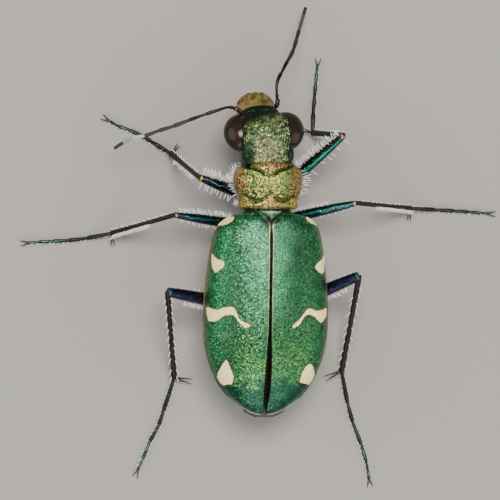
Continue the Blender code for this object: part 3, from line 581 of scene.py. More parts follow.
def wing_paint():
    """Green wing cases: fine grains, cream marks, a copper rim, gilt seam edges and a darker tip, with a
    partly painted sheen on the front of the disc, painted shade over the right half and painted shade
    widening the seam.
    """
    paint = Paint("wing_shell")
    x, y = paint.place.axis("X"), paint.place.axis("Y")
    seam, rim, mark = paint.value("seam"), paint.value("rim"), paint.value("mark")
    mottle = paint.noise(0.45, 3.0)
    wander = y + mottle.ramp(0.3, 0.7, -0.35, 0.35)
    lean = wander.ramp(-1.5, -5.0, 0.14, 0.28) + wander.ramp(-1.5, 0.5, 0.0, 0.12)
    share, normal = paint.grains(WING_GRAIN, lean, 0.01)
    green = paint.colours(share, (
        (0.0, (0.01, 0.045, 0.028)), (0.2, (0.016, 0.075, 0.04)), (0.4, (0.024, 0.11, 0.045)),
        (0.55, (0.035, 0.14, 0.045)), (0.68, (0.02, 0.15, 0.085)), (0.8, (0.06, 0.18, 0.05)),
        (0.92, (0.1, 0.17, 0.05)), (1.0, (0.05, 0.36, 0.17)),
    ))
    # A greyer green for the front of the disc by the seam: partly the shell's tone, partly a painted sheen
    disc_sheen = paint.colours(share, (
        (0.0, (0.009, 0.038, 0.022)), (0.3, (0.017, 0.062, 0.032)), (0.5, (0.024, 0.082, 0.041)),
        (0.7, (0.015, 0.1, 0.064)), (0.85, (0.06, 0.12, 0.04)), (0.94, (0.06, 0.2, 0.14)),
        (1.0, (0.06, 0.3, 0.2)),
    ))
    gold = paint.colours(share, (
        (0.0, (0.016, 0.06, 0.03)), (0.35, (0.036, 0.14, 0.055)), (0.6, (0.03, 0.26, 0.12)),
        (0.8, (0.12, 0.32, 0.06)), (1.0, (0.36, 0.6, 0.1)),
    ))
    flank = paint.colours(share, (
        (0.0, (0.004, 0.045, 0.02)), (0.55, (0.018, 0.17, 0.065)), (0.8, (0.03, 0.28, 0.11)),
        (1.0, (0.09, 0.6, 0.13)),
    ))
    # How far from the seam the dark line is painted: the thin real line, widened to the rear by painted shade
    seam_shade_width = (y.ramp(-3.5, -5.8, 0.0, 0.07) + 0.03) * y.ramp(-7.7, -6.7, 0.3, 1.0)
    ragged = mark + paint.drift(0.11, 0.018)
    cream = ragged.ramp(-0.004, 0.018)
    colour = paint.layered(
        green,
        # The partly painted sheen over the front of the disc by the seam
        (seam.ramp(2.2, 0.5) * wander.ramp(-4.0, 0.8, 0.3, 0.85), disc_sheen),
        (wander.ramp(-3.2, -5.6) * seam.ramp(2.3, 1.4, 0.3, 0.85), gold),
        (rim.ramp(1.0, 0.25, 0.0, 0.75), flank),
        # Painted shade over the right half, stronger to the rear
        (
            x.ramp(-0.4, 0.5) * wander.ramp(1.0, -4.0, 0.12, 0.3),
            paint.mix(share, (0.004, 0.03, 0.014), (0.02, 0.11, 0.03)),
        ),
        # The blue-green tip
        (
            wander.ramp(-6.1, -6.6) * mottle.ramp(0.3, 0.7, 0.95, 0.65),
            paint.mix(share, (0.006, 0.03, 0.026), (0.022, 0.1, 0.065)),
        ),
        # Gilt edges along the seam, then its dark inner walls, with painted shade widening the dark line to
        # the rear
        (
            seam.ramp(0.11, 0.05) * y.ramp(0.2, 0.8, 0.2, 0.9) * y.ramp(-5.5, -4.0, 0.2, 1.0),
            (0.5, 0.36, 0.18),
        ),
        ((seam - seam_shade_width).ramp(0.02, 0.0) * y.ramp(0.9, 0.5), (0.012, 0.006, 0.004)),
        # The copper rim and the pale edge of the tip
        (
            rim.ramp(0.02, 0.005, 0.0, 0.75) * y.ramp(1.2, 0.8) * y.ramp(-6.0, -5.0),
            paint.mix(paint.noise(0.5), (0.12, 0.05, 0.025), (0.3, 0.11, 0.05)),
        ),
        (rim.ramp(0.06, 0.03, 0.0, 0.8) * y.ramp(-6.9, -7.3), (0.28, 0.36, 0.34)),
        # The cream marks and their brown borders
        (ragged.ramp(-0.045, -0.012) * 0.85, (0.16, 0.055, 0.022)),
        (cream, paint.mix(paint.noise(0.22, 4.0), (0.8, 0.63, 0.22), (0.9, 0.78, 0.38))),
    )
    paint.set("Metallic", 0.92 - cream * 0.92)
    paint.set("Roughness", cream.ramp(0.0, 1.0, 0.3, 0.5))
    return paint.finish(colour, normal)


def shield_paint():
    """The prothorax: gold-green grains, coppery sides and collars, painted shade in the grooves and a painted
    highlight just behind the front groove.
    """
    paint = Paint("shield_plate", metallic=0.92, roughness=0.34)
    share, normal = paint.grains(0.06, 0.56, 0.02)
    gold = paint.colours(share, (
        (0.0, (0.008, 0.03, 0.014)), (0.22, (0.02, 0.08, 0.03)), (0.4, (0.09, 0.15, 0.04)),
        (0.52, (0.05, 0.26, 0.08)), (0.66, (0.4, 0.3, 0.04)), (0.76, (0.45, 0.12, 0.04)),
        (0.88, (0.1, 0.5, 0.14)), (1.0, (0.85, 0.6, 0.1)),
    ))
    copper = paint.colours(share, (
        (0.0, (0.015, 0.035, 0.015)), (0.22, (0.07, 0.06, 0.025)), (0.38, (0.5, 0.1, 0.02)),
        (0.5, (0.6, 0.24, 0.04)), (0.6, (0.14, 0.2, 0.06)), (0.72, (0.2, 0.34, 0.12)),
        (0.86, (0.5, 0.2, 0.1)), (1.0, (0.85, 0.55, 0.26)),
    ))
    amber = paint.colours(share, (
        (0.0, (0.02, 0.06, 0.015)), (0.3, (0.1, 0.3, 0.05)), (0.5, (0.45, 0.42, 0.04)),
        (0.7, (0.85, 0.3, 0.03)), (1.0, (0.9, 0.8, 0.15)),
    ))
    mottle = paint.noise(0.3, 3.0)
    colour = paint.layered(
        gold,
        (mottle.ramp(0.45, 0.65), paint.mix(0.45, gold, copper)),
        (paint.value("margin") * mottle.ramp(0.3, 0.6, 0.5, 1.0), copper),
        (paint.value("corner") * 0.85, amber),
        # A painted highlight just behind the front groove
        (paint.value("lit"), paint.mix(share, (0.05, 0.32, 0.08), (0.5, 0.65, 0.1))),
        # Painted shade in the grooves
        (paint.value("groove"), paint.mix(share, (0.004, 0.02, 0.008), (0.03, 0.09, 0.03))),
        (paint.value("flank"), paint.mix(share, (0.005, 0.04, 0.018), (0.03, 0.15, 0.06))),
    )
    return paint.finish(colour, normal)


def capsule_paint():
    """The head: gold-green grains, darker in front and behind, with fine streaks by the eyes; painted light
    carries the gold further forward on the right.
    """
    paint = Paint("capsule", metallic=0.92, roughness=0.32)
    across, along = paint.value("across"), paint.value("along")
    share, normal = paint.grains(0.06, 0.48, 0.016)
    dark = paint.mix(share, (0.003, 0.009, 0.005), (0.012, 0.04, 0.018))
    gold = paint.colours(share, (
        (0.0, (0.005, 0.03, 0.015)), (0.26, (0.025, 0.13, 0.06)), (0.46, (0.12, 0.26, 0.1)),
        (0.6, (0.48, 0.45, 0.12)), (0.74, (0.5, 0.22, 0.12)), (0.87, (0.08, 0.48, 0.26)),
        (1.0, (0.85, 0.7, 0.2)),
    ))
    dusky = paint.colours(share, (
        (0.0, (0.01, 0.02, 0.012)), (0.4, (0.04, 0.065, 0.035)), (0.7, (0.14, 0.07, 0.055)),
        (1.0, (0.25, 0.19, 0.13)),
    ))
    mottle = paint.noise(0.28, 3.0)
    wander = across + mottle.ramp(0.3, 0.7, -0.22, 0.22)
    # Painted light: the gold reaches further forward on the right side than on the left
    tilted = along - paint.place.axis("X") * 0.32
    corner = along.ramp(0.9, 0.3) * wander.ramp(0.5, 1.0)
    middle = wander.ramp(1.15, 0.85) * tilted.ramp(2.0, 1.5) * mottle.ramp(0.3, 0.5, 0.45, 1.0)
    middle = middle * corner.ramp(0.0, 1.0, 1.0, 0.1)
    rear = along.ramp(1.2, 0.4) * wander.ramp(1.0, 0.3, 0.0, 0.75)
    streaks = (across * (2 * math.pi / 0.085)).sine() * across.ramp(0.5, 0.7)
    colour = paint.layered(dark, (middle, gold), (rear, dusky))
    return paint.finish(colour, paint.bump(streaks, 0.012, normal))


def plates(paint, size, low, high):
    """The colour and normal of body plates: shallow pits and a drift from one colour to another."""
    share, normal = paint.grains(size, 0.3, 0.012)
    return paint.mix((share * 0.45 + paint.noise(0.7, 3.0)).ramp(0.35, 1.05), low, high), normal


def plate_paint(name, low, high, rough=0.3, size=0.07, front_highlight=None):
    """Dark metallic body plates, with a painted highlight along the front edge where its colour is given."""
    paint = Paint(name, metallic=0.85, roughness=rough)
    colour, normal = plates(paint, size, low, high)
    if front_highlight:
        # A painted highlight along the front edge
        ahead = paint.place.axis("Y") + paint.drift(0.1, 0.03)
        colour = paint.mix(ahead.ramp(1.48, 1.62, 0.0, 0.7), colour, front_highlight)
    return paint.finish(paint.mix(paint.value("back"), colour, (0.006, 0.004, 0.004)), normal)


def belly_paint():
    """The abdomen: blue-green plates with copper edges, ending in a brown tip."""
    paint = Paint("belly_plate")
    colour, normal = plates(paint, 0.07, (0.01, 0.05, 0.06), (0.05, 0.16, 0.13))
    tip = paint.place.axis("Y").ramp(-7.35, -7.6)
    colour = paint.layered(
        colour,
        (paint.value("edge") * 0.6, (0.2, 0.08, 0.05)),
        (tip, paint.mix(paint.noise(0.2), (0.03, 0.018, 0.012), (0.09, 0.055, 0.035))),
        (paint.value("back"), (0.004, 0.004, 0.005)),
    )
    paint.set("Metallic", 0.8 - tip * 0.7)
    paint.set("Roughness", tip.ramp(0.0, 1.0, 0.3, 0.55))
    return paint.finish(colour, normal)


def eye_paint():
    """Brown compound eyes: fine facets under a clear gloss, olive towards the rims."""
    paint = Paint("eye_facets", roughness=0.14, Specular_IOR_Level=0.22)
    facet = paint.cells(0.034)
    share = paint.place.axis("Z").ramp(3.3, 4.5) + paint.drift(0.5, 0.2)
    colour = paint.colours(share, (
        (0.0, (0.008, 0.008, 0.003)), (0.35, (0.014, 0.01, 0.004)), (0.65, (0.03, 0.013, 0.007)),
        (0.85, (0.024, 0.013, 0.006)), (1.0, (0.013, 0.011, 0.004)),
    ))
    colour = paint.mix(facet.ramp(0.35, 0.6, 0.0, 0.5), colour, (0.012, 0.007, 0.005))
    return paint.finish(colour, paint.bump(1.0 - facet, 0.0015))


def labrum_paint():
    """Amber horn with dark brown ribs, and a warmer brown root and rim."""
    paint = Paint("labrum_horn", roughness=0.34)
    across, along = paint.value("across"), paint.value("along")
    ribs = (across * (2 * math.pi / LABRUM_RIB_STEP)).sine().ramp(0.1, 1.0)
    horn = paint.mix(paint.noise(0.3, 4.0).ramp(0.3, 0.7), (0.045, 0.028, 0.004), (0.17, 0.125, 0.03))
    colour = paint.layered(
        horn,
        (ribs * along.ramp(0.35, 0.8, 0.0, 0.65), (0.03, 0.016, 0.004)),
        (along.ramp(0.25, 0.0, 0.0, 0.8), (0.2, 0.1, 0.022)),
        (along.ramp(0.93, 1.0, 0.0, 0.8), (0.12, 0.06, 0.025)),
    )
    return paint.finish(colour, paint.bump(paint.noise(0.09), 0.008))


def horn_paint(name, pale, dark, metallic=0.0):
    """Horn of the jaws, palps and claws, darker towards its tips."""
    paint = Paint(name, metallic=metallic, roughness=0.24)
    share = paint.value("along") + paint.drift(0.2, 0.15)
    return paint.finish(paint.mix(share.ramp(0.25, 0.75), pale, dark), paint.bump(paint.noise(0.06), 0.006))


def limb_paint(name, stripes, below, knee, pits=0.16, spots=0.3, glint=None, metallic=0.85):
    """Metallic limbs: stripes from the rear side to the front one with painted reflections in their bright
    bands, a painted glint at the knee, small pits, and painted glints where a glint colour is given.
    """
    paint = Paint(name, metallic=metallic, roughness=0.45 - 0.25 * metallic, Specular_IOR_Level=0.3)
    height, along = paint.value("height"), paint.value("along")
    front = paint.value("front").ramp(-1.0, 1.0, kind="LINEAR") + paint.drift(0.35, 0.1, 3.0)
    pit = paint.cells(pits).ramp(0.24, 0.1)
    colour = paint.layered(
        below,
        # Stripes over the top: the metal's colour, with painted reflections in their bright bands
        (height.ramp(-0.2, 0.25), paint.colours(front, stripes)),
        (pit * spots, (0.3, 0.4, 0.34)),
        # A painted glint on top of the knee
        (along.ramp(0.9, 0.95, 0.0, 0.9) * height.ramp(0.25, 0.75), knee),
    )
    # Painted glints in patches along the middle, towards the far end
    if glint:
        patch = abs(front - 0.5).ramp(0.2, 0.05) * along.ramp(0.35, 0.75)
        colour = paint.mix(patch * paint.noise(0.3).ramp(0.4, 0.55), colour, glint)
    return paint.finish(colour, paint.bump(paint.cells(0.045) - pit, 0.008))


def feeler_paint(name, down):
    """Antennae: metallic first joints, then joints with a dull down, coloured along each feeler with painted
    light and shade.
    """
    paint = Paint(name, Specular_IOR_Level=0.35)
    along = paint.value("along")
    dull = along.ramp(0.4, 0.46)
    # The first joint's pink: partly its metal's colour, partly a painted highlight
    pink = along.ramp(0.1, 0.08, 0.0, paint.noise(0.2, 3.0).ramp(0.3, 0.6))
    down = paint.colours(along, down, "CONSTANT")
    down = paint.mix(paint.noise(0.05, 3.0) * 0.5, down, (0.012, 0.01, 0.01))
    colour = paint.layered(
        (0.018, 0.013, 0.012),
        (pink, (0.12, 0.05, 0.07)),
        (dull, down),
        (paint.value("joint"), (0.006, 0.005, 0.005)),
    )
    paint.set("Metallic", dull.ramp(0.0, 1.0, 0.8, 0.0))
    paint.set("Roughness", dull.ramp(0.0, 1.0, 0.25, 0.55))
    return paint.finish(colour, paint.bump(paint.noise(0.03), 0.004))


def bristle_paint():
    """White bristles, a little greyer at their roots."""
    paint = Paint("bristles", roughness=0.4, Subsurface_Weight=0.2, Subsurface_Scale=0.0001)
    share = paint.value("along") + paint.value("tint")
    return paint.finish(paint.mix(share.ramp(0.0, 1.1), (0.7, 0.67, 0.6), (0.96, 0.96, 0.95)))


def floor_paint():
    paint = Paint("pale_floor", roughness=0.85)
    return paint.finish(paint.mix(paint.noise(40, 3.0), (0.262, 0.248, 0.228), (0.285, 0.271, 0.248)))


# Body

def smoothed(outline, rounds=2):
    """A closed outline with its corners cut round."""
    points = np.array(outline, float)
    for _ in range(rounds):
        after = np.roll(points, -1, axis=0)
        points = np.stack((0.8 * points + 0.2 * after, 0.2 * points + 0.8 * after), 1).reshape(-1, 2)
    return points


def inside_distance(places, outline):
    """How far places in a plane lie inside a closed outline; negative outside it."""
    best = np.full(len(places), np.inf)
    inside = np.zeros(len(places), bool)
    for near, far in zip(outline, np.roll(outline, -1, axis=0)):
        edge = far - near
        t = np.clip((places - near) @ edge / (edge @ edge), 0, 1)
        best = np.minimum(best, np.linalg.norm(places - near - t[:, None] * edge, axis=1))
        crosses = (near[1] > places[:, 1]) != (far[1] > places[:, 1])
        # A level edge is never crossed, so its rise only has to differ from zero
        rise = edge[1] or 1.0
        inside ^= crosses & (places[:, 0] < near[0] + (places[:, 1] - near[1]) * edge[0] / rise)
    return np.where(inside, best, -best)


def arch(share):
    """The height of a wing case's flattened arch at a share across it, or the other way round."""
    return (1 - share**WING_POWER) ** (1 / WING_POWER)


def wing_case(side, material):
    """One wing case: rays from the seam over the arch to the rim, folded under it and closed."""
    stations = np.array(WING_STATIONS)
    stations = np.column_stack((measured(stations[:, :2])[0], stations))
    share = np.linspace(0, 1, WING_RAYS)
    edge_x, edge_y, rim, seam_x, seam_y = (curve_value(stations, share, i) for i in range(1, 6))
    edge, seam = np.stack((edge_x, edge_y), -1), np.stack((seam_x, seam_y), -1)
    ridge = curve_value(WING_RIDGE, seam_y)
    along = unit(np.gradient(edge, axis=0))
    outward = np.stack((-along[:, 1], along[:, 0]), -1)
    reach = np.linalg.norm(edge - seam, axis=1)

    def ray(shares, heights, out=0.0, lift=0.0, inset=0.0):
        """Points over the rays at shares of their length, pushed outwards, upwards and inwards."""
        shrink = 1 - np.minimum(inset / reach, 0.45)[:, None]
        shares = np.atleast_1d(shares) * shrink
        flat = seam[:, None] + (edge - seam)[:, None] * shares[..., None] + outward[:, None] * out
        z = rim[:, None] + (ridge + lift - rim)[:, None] * np.atleast_1d(heights)
        return np.concatenate((flat, z[..., None]), -1)

    # The outer face, crowded at the seam and the rim, with its shoulder, ripples and edges
    flat = np.concatenate((SEAM_SHARES, np.linspace(0.056, 0.88, WING_STEPS)))
    drop = np.linspace(0.5, 0, 18)
    across = np.concatenate((flat, arch(drop)))
    top = ray(across, np.concatenate((arch(flat), drop)))
    seam_distance = across * reach[:, None]
    rim_distance = (1 - across) * reach[:, None]
    x, y = top[..., 0], top[..., 1]
    (bump_x, bump_y), bump_width, bump_height = SHOULDER_BUMP
    ripple = np.sin(x * 5.1 + 1.3 * np.sin(y * 1.9)) * np.sin(y * 3.7)
    top[..., 2] += bump_height * bump(np.hypot(x - bump_x, y - bump_y), 0, bump_width)
    top[..., 2] += 0.006 * ripple * smooth_step(0, 0.4, rim_distance)
    top[..., 2] -= 0.035 * bump(seam_distance, 0, 0.022) + 0.02 * bump(rim_distance, 0.07, 0.035)
    # The rolled rim, the inner face and the wall that closes it at the seam
    folds = [ray(1.0, 0.0, out) + (0, 0, lift) for out, lift in RIM_PROFILE]
    inner = np.linspace(0, 1, 16)
    thick = np.minimum(WING_THICK, 0.4 * (ridge - rim) + 0.02)
    wall = ray(0.0, 1.0)
    wall[..., 2] -= np.minimum(0.07, 0.5 * thick)[:, None]
    rings = np.concatenate((top, *folds, ray(arch(inner), inner, 0.0, -thick, WING_FOLD), wall), 1)
    rest = rings.shape[1] - len(across)
    seam_value = np.concatenate((seam_distance, np.repeat(reach[:, None], rest, 1)), 1)
    seam_value[:, -1] = 0.0
    rim_value = np.full(seam_value.shape, 2.0)
    rim_value[:, :len(across)] = rim_distance
    rim_value[:, len(across):len(across) + len(folds)] = 0.0
    out = np.concatenate((across, np.ones(len(folds)), arch(inner), (0.0,)))
    y = rings[..., 1]
    x = SIGN[side] * rings[..., 0] + curve_value(SEAM_SHIFT, y) * (1 - out)
    rings[..., 0] = midline(y) + x
    flat = np.stack((SIGN[side] * x, y), -1).reshape(-1, 2)
    mark = np.max([inside_distance(flat, smoothed(outline)) for outline in MARKS[side]], axis=0)
    values = {"mark": mark.reshape(y.shape), "seam": seam_value, "rim": rim_value}
    return one_tube(rings, f"wing_{side}", material, "elytra", f"elytron_{side}", **values)


def section_rings(places, centre_x, half_width, middle, top, bottom, sides, power=BODY_POWER):
    """Upright rings with flattened sides, one at each y; also how high each point stands, -1 to 1."""
    angles = ring_angles(sides)
    out, up = (np.sign(wave) * np.abs(wave) ** (2 / power) for wave in (np.cos(angles), np.sin(angles)))
    centre_x, half_width, middle, top, bottom = (
        np.broadcast_to(part, len(places))[:, None] for part in (centre_x, half_width, middle, top, bottom)
    )
    z = middle + np.where(up > 0, top - middle, middle - bottom) * up
    x = centre_x + half_width * out
    return np.stack((x, np.broadcast_to(places[:, None], z.shape), z), -1), np.broadcast_to(up, z.shape)


def body_rings(places, sides=120):
    return section_rings(
        places, midline(places), curve_value(BODY_HALF_WIDTH, places), curve_value(BODY_SIDE_Z, places),
        curve_value(BODY_TOP, places), curve_value(BELLY, places), sides,
    )


def abdomen(material):
    """The hind body: lapping belly plates, with a flat dark back under the wing cases."""
    places = np.linspace(ABDOMEN_TIP, THORAX_BACK + 0.12, 190)
    rings, up = body_rings(places)
    behind = np.array(STERNITE_EDGES)[:, None] - places
    step = STERNITE_STEP * np.where(behind >= 0, np.exp(-behind / 0.25), 0).sum(0)
    edge = bump(behind, -0.05, 0.06).max(0)
    lower = smooth_step(0.2, -0.25, up)
    middle = rings.mean(1, keepdims=True)
    shrink = 1 - (step / 1.4)[:, None, None] * lower[..., None]
    rings = middle + (rings - middle) * np.concatenate((shrink, np.ones_like(shrink), shrink), -1)
    back = smooth_step(0.1, 0.3, up) * smooth_step(-7.72, -7.6, places)[:, None]
    values = {"edge": edge[:, None] * lower, "back": back}
    return one_tube(rings, "abdomen_plates", material, "abdomen", "abdomen", **values)


def thorax(material):
    """The middle body between the leg roots, with the seams of its side and breast plates."""
    places = np.linspace(THORAX_BACK, 1.9, 170)
    rings, up = body_rings(places)
    x, y, z = rings[..., 0] - midline(places)[:, None], rings[..., 1], rings[..., 2]
    lower = smooth_step(0.5, 0.1, up)
    seams = np.max((
        bump(y, -0.1 + 0.35 * np.abs(x), 0.05) * smooth_step(-0.2, -0.6, up),
        bump(y, 0.75 - 0.5 * (z - 2.6), 0.05) * lower,
        bump(z, 2.78 + 0.04 * y, 0.035) * smooth_step(0.6, 0.3, y) * lower,
        bump(x, 0, 0.05) * smooth_step(-0.6, -0.9, up),
    ), axis=0)
    back = smooth_step(0.1, 0.3, up) * smooth_step(1.42, 1.32, y)
    middle = rings.mean(1, keepdims=True)
    rings = middle + (rings - middle) * (1 - 0.03 * seams[..., None])
    return one_tube(rings, "thorax_plates", material, "thorax", "thorax", back=back)


def scutellum(material):
    """The small dark green triangle, with a painted highlight in front, between the roots of the wing cases.
    """
    y = np.linspace(SCUTELLUM[0][0], SCUTELLUM[-1][0], 36)[:, None]
    across = np.linspace(-1, 1, 31)
    x = midline(y) + curve_value(SEAM_SHIFT, y) + curve_value(SCUTELLUM, y) * across
    crown = SCUTELLUM_TOP - 0.1 * across**2 - 0.05 * ((y - 1.35) / 0.3) ** 2
    top = np.stack((x, np.broadcast_to(y, x.shape), crown), -1)
    under = top[:, ::-1] - (0, 0, SCUTELLUM_THICK)
    return one_tube(np.concatenate((top, under), 1), "scutellum", material, "thorax")


def prothorax(material):
    """The shield behind the head: two cross grooves, a middle line and a side edge."""
    places = PROTHORAX_BACK + (PROTHORAX_FRONT - PROTHORAX_BACK) * eased(150, 1.25)
    rings, up = section_rings(
        places, PROTHORAX_X, curve_value(PROTHORAX_HALF_WIDTH, places), PROTHORAX_MID_Z,
        curve_value(PROTHORAX_TOP, places), curve_value(PROTHORAX_BOTTOM, places), 240, 2.15,
    )
    x, y = rings[..., 0] - PROTHORAX_X, rings[..., 1]
    side = np.abs(x)
    upper = smooth_step(0.02, 0.25, up)
    front, back = curve_value(FRONT_GROOVE, side), curve_value(BACK_GROOVE, side)
    ahead, behind = y - front, y - back
    between = smooth_step(0, 0.15, behind) * smooth_step(0, 0.15, -ahead)
    front_cut = bump(ahead, 0, GROOVE_WIDTH) * smooth_step(1.4, 1.0, side)
    back_cut = bump(behind, 0, GROOVE_WIDTH) * smooth_step(1.4, 1.1, side)
    cut = GROOVE_DEPTH * front_cut * (0.45 + 0.55 * smooth_step(0.05, 0.4, side))
    cut += GROOVE_DEPTH * back_cut * (0.3 + 0.7 * smooth_step(0.1, 0.5, side))
    cut += 0.035 * bump(side, 0, 0.035) * between
    swell = 0.06 * bump(side, 0.62, 0.45) * between
    swell += 0.03 * bump(side, 0, 0.3) * smooth_step(-0.1, 0.1, ahead)
    wrinkle = 0.008 * np.sin(y * 34 + 4 * np.sin(side * 5)) * np.sin(side * 9 + y * 3) * between
    rings[..., 2] += upper * (swell + wrinkle - cut)
    rings[..., 0] += np.sign(x) * 0.035 * bump(up, 0.05, 0.06)
    # Painted shade in the grooves, darker where they are cut deeper
    groove = np.clip(cut * 9.5 - 0.1, 0, 0.95) * upper
    collar = np.maximum(smooth_step(0.0, 0.12, ahead), 0.75 * smooth_step(0.02, -0.12, behind))
    rim = smooth_step(0.85, 1.3, side) * 0.85
    corner = smooth_step(0.85, 1.15, side) * smooth_step(2.3, 2.1, y)
    corner += smooth_step(1.2, 1.4, side) * smooth_step(3.3, 3.5, y) * 0.3
    values = {
        "groove": groove,
        "margin": np.clip(np.maximum(collar, rim), 0, 1) * (1 - groove),
        # A painted highlight just behind the front groove
        "lit": 0.5 * bump(ahead, -0.17, 0.05) * smooth_step(1.3, 1.1, side) * upper,
        "corner": corner * upper,
        "flank": smooth_step(0.02, -0.12, up),
    }
    return one_tube(rings, "prothorax_shield", material, "prothorax", "prothorax", **values)


# Head

def head_matrix():
    turn = Matrix.Rotation(HEAD_TURN, 4, "Z") @ Matrix.Rotation(HEAD_PITCH, 4, "X")
    return Matrix.Translation(NECK) @ turn @ Matrix.Rotation(HEAD_ROLL, 4, "Y")


def head(material):
    """The head capsule: a raised edge over each eye, a sunken brow and a step at the front."""
    start = HEAD_HALF_WIDTH[0][0]
    places = start + (HEAD_LENGTH - start) * eased(130, 1.2)
    rings, up = section_rings(
        places, 0, curve_value(HEAD_HALF_WIDTH, places), 0,
        curve_value(HEAD_TOP, places), -curve_value(HEAD_BOTTOM, places), 220, 3.6,
    )
    x, y = rings[..., 0], rings[..., 1]
    side = np.abs(x)
    brow = 0.12 * bump(side, 1.08, 0.14) * smooth_step(0.35, 0.8, y) * smooth_step(2.1, 1.6, y)
    dip = 0.06 * bump(side, 0.5, 0.22) * smooth_step(0.7, 1.1, y) * smooth_step(2.15, 1.8, y)
    rear = 0.02 * bump(y, 0.28, 0.14) * smooth_step(1.2, 0.9, side)
    front = 0.05 * bump(y, 2.12 + 0.1 * side, 0.05)
    wave = 0.01 * np.sin(y * 21 + 3 * np.sin(side * 6)) * np.sin(side * 11)
    rings[..., 2] += smooth_step(0.0, 0.3, up) * (brow - dip - rear - front + wave)
    ahead = smooth_step(1.6, 2.46, y)
    rings[..., 0] += 0.6 * MOUTH_X * ahead
    rings[..., 1] += ahead * (0.06 - 0.14 * (x / 0.8) ** 2)
    values = {"across": side, "along": y}
    return one_tube(rings, "head_capsule", material, "head", "head", matrix=head_matrix(), **values)


def ball_rings(centre, radii, rows, sides):
    """Rings of an ellipsoid from pole to pole along y."""
    angles = np.linspace(0.02, math.pi - 0.02, rows)[:, None]
    around = ring_angles(sides)
    x, z = np.sin(angles) * np.cos(around), np.sin(angles) * np.sin(around)
    y = np.broadcast_to(-np.cos(angles), x.shape)
    return np.array(centre) + np.array(radii) * np.stack((x, y, z), -1)


def eye(side, material):
    """One bulging compound eye, cut flat where it meets the head."""
    sign = SIGN[side]
    rings = ball_rings((sign * EYE_CENTRE[0], *EYE_CENTRE[1:]), EYE_RADII, 90, 120)
    rings[..., 0] = sign * np.maximum(sign * rings[..., 0], EYE_INNER)
    return one_tube(rings, f"eye_{side}_facets", material, "eye", f"eye_{side}", matrix=head_matrix())


def labrum(material):
    """The horny upper lip: an arched plate with three blunt teeth and a rounded front."""
    across = np.linspace(-1, 1, 91)
    along = np.linspace(0, 1, 40)[:, None]
    teeth = sum(bump(across, place, 0.1) for place in LABRUM_TEETH)
    front = LABRUM_FRONT - 0.32 * np.abs(across) ** 3.6 + 0.04 * teeth
    root = LABRUM_ROOT - 0.14 * across**2
    x = MOUTH_X + LABRUM_HALF_WIDTH * (1 - 0.08 * along**2) * across
    arched = 0.2 - 0.32 * across**2 - 0.16 * along**2
    ribs = 0.012 * np.sin(across * 0.8 * 2 * math.pi / LABRUM_RIB_STEP) * along
    top = np.stack((x, root + along * (front - root), arched + ribs), -1)
    under = top[:, ::-1] * (0.97, 1.0, 1.0)
    under[..., 2] -= 0.13 - 0.05 * along
    rings = np.concatenate((top, under), 1)
    values = {"across": rings[..., 0], "along": along}
    return one_tube(rings, "labrum_plate", material, "labrum", "labrum", matrix=head_matrix(), **values)


def tapered(shape, points, radii, sides=20, rows=40, flat=1.0, **values):
    """A smooth closed tube through points, its radius read from (share, radius) stations."""
    share = eased(rows, 1.5)
    path = path_value(points, share)
    close = rounding(share, measured(path)[1], radii[0][1], radii[-1][1])
    wide = np.maximum(curve_value(radii, share) * close, 0.002)
    shape.rings(sweep(path, wide, wide * flat, sides), along=share[:, None], **values)


def mandible(side, material):
    """A curved jaw under the lip, with teeth along its inner edge."""
    shape = Shape()
    drop = JAW_DROP[side]
    curve = mirrored(side, [(x, y, z - drop) for x, y, z in JAW])
    tapered(shape, curve, ((0, 0.22), (0.4, 0.15), (0.8, 0.07), (1, 0.015)), flat=0.75)
    for root, tip in JAW_TEETH:
        middle = ((root[0] + tip[0]) / 2, (root[1] + tip[1]) / 2 - 0.02)
        tooth = mirrored(side, [(x, y, JAW_LEVEL - drop) for x, y in (root, middle, tip)])
        tapered(shape, tooth, ((0, 0.09), (0.6, 0.055), (1, 0.01)), 12, 14, 0.8)
    shape.turned(head_matrix(), MOUTH_X)
    return shape.piece(f"jaw_{side}", material, "mouthparts", f"mandible_{side}")


def palp(shape, points, joints, thick):
    """A feeler of the mouth: short clubbed joints one after another."""
    radii = ((0, thick * 0.6), (0.7, thick), (1, thick * 0.8))
    for near, far in zip(joints, joints[1:]):
        tapered(shape, path_value(points, np.linspace(near, far, 5)), radii, 14, 16)


def maxilla(side, material):
    shape = Shape()
    tapered(shape, mirrored(side, MAXILLA_BASE), ((0, 0.2), (0.5, 0.18), (1, 0.14)), 16, 20)
    palp(shape, mirrored(side, MAXILLA_PALP), (0, 0.3, 0.65, 1), 0.085)
    tapered(shape, mirrored(side, MAXILLA_LOBE), ((0, 0.1), (0.6, 0.07), (1, 0.012)), 12, 18)
    shape.turned(head_matrix(), MOUTH_X)
    return shape.piece(f"maxilla_{side}_palp", material, "mouthparts", f"maxilla_{side}")


def labium(material):
    """The lower lip: a broad root and a pair of jointed palps."""
    shape = Shape()
    tapered(shape, LABIUM_ROOT, ((0, 0.42), (0.5, 0.36), (1, 0.2)), 24, 24, 0.55)
    for side in SIGN:
        palp(shape, mirrored(side, LABIUM_PALP), (0, 0.22, 0.7, 1), 0.08)
    shape.turned(head_matrix(), MOUTH_X)
    return shape.piece("labium_palps", material, "mouthparts", "labium")


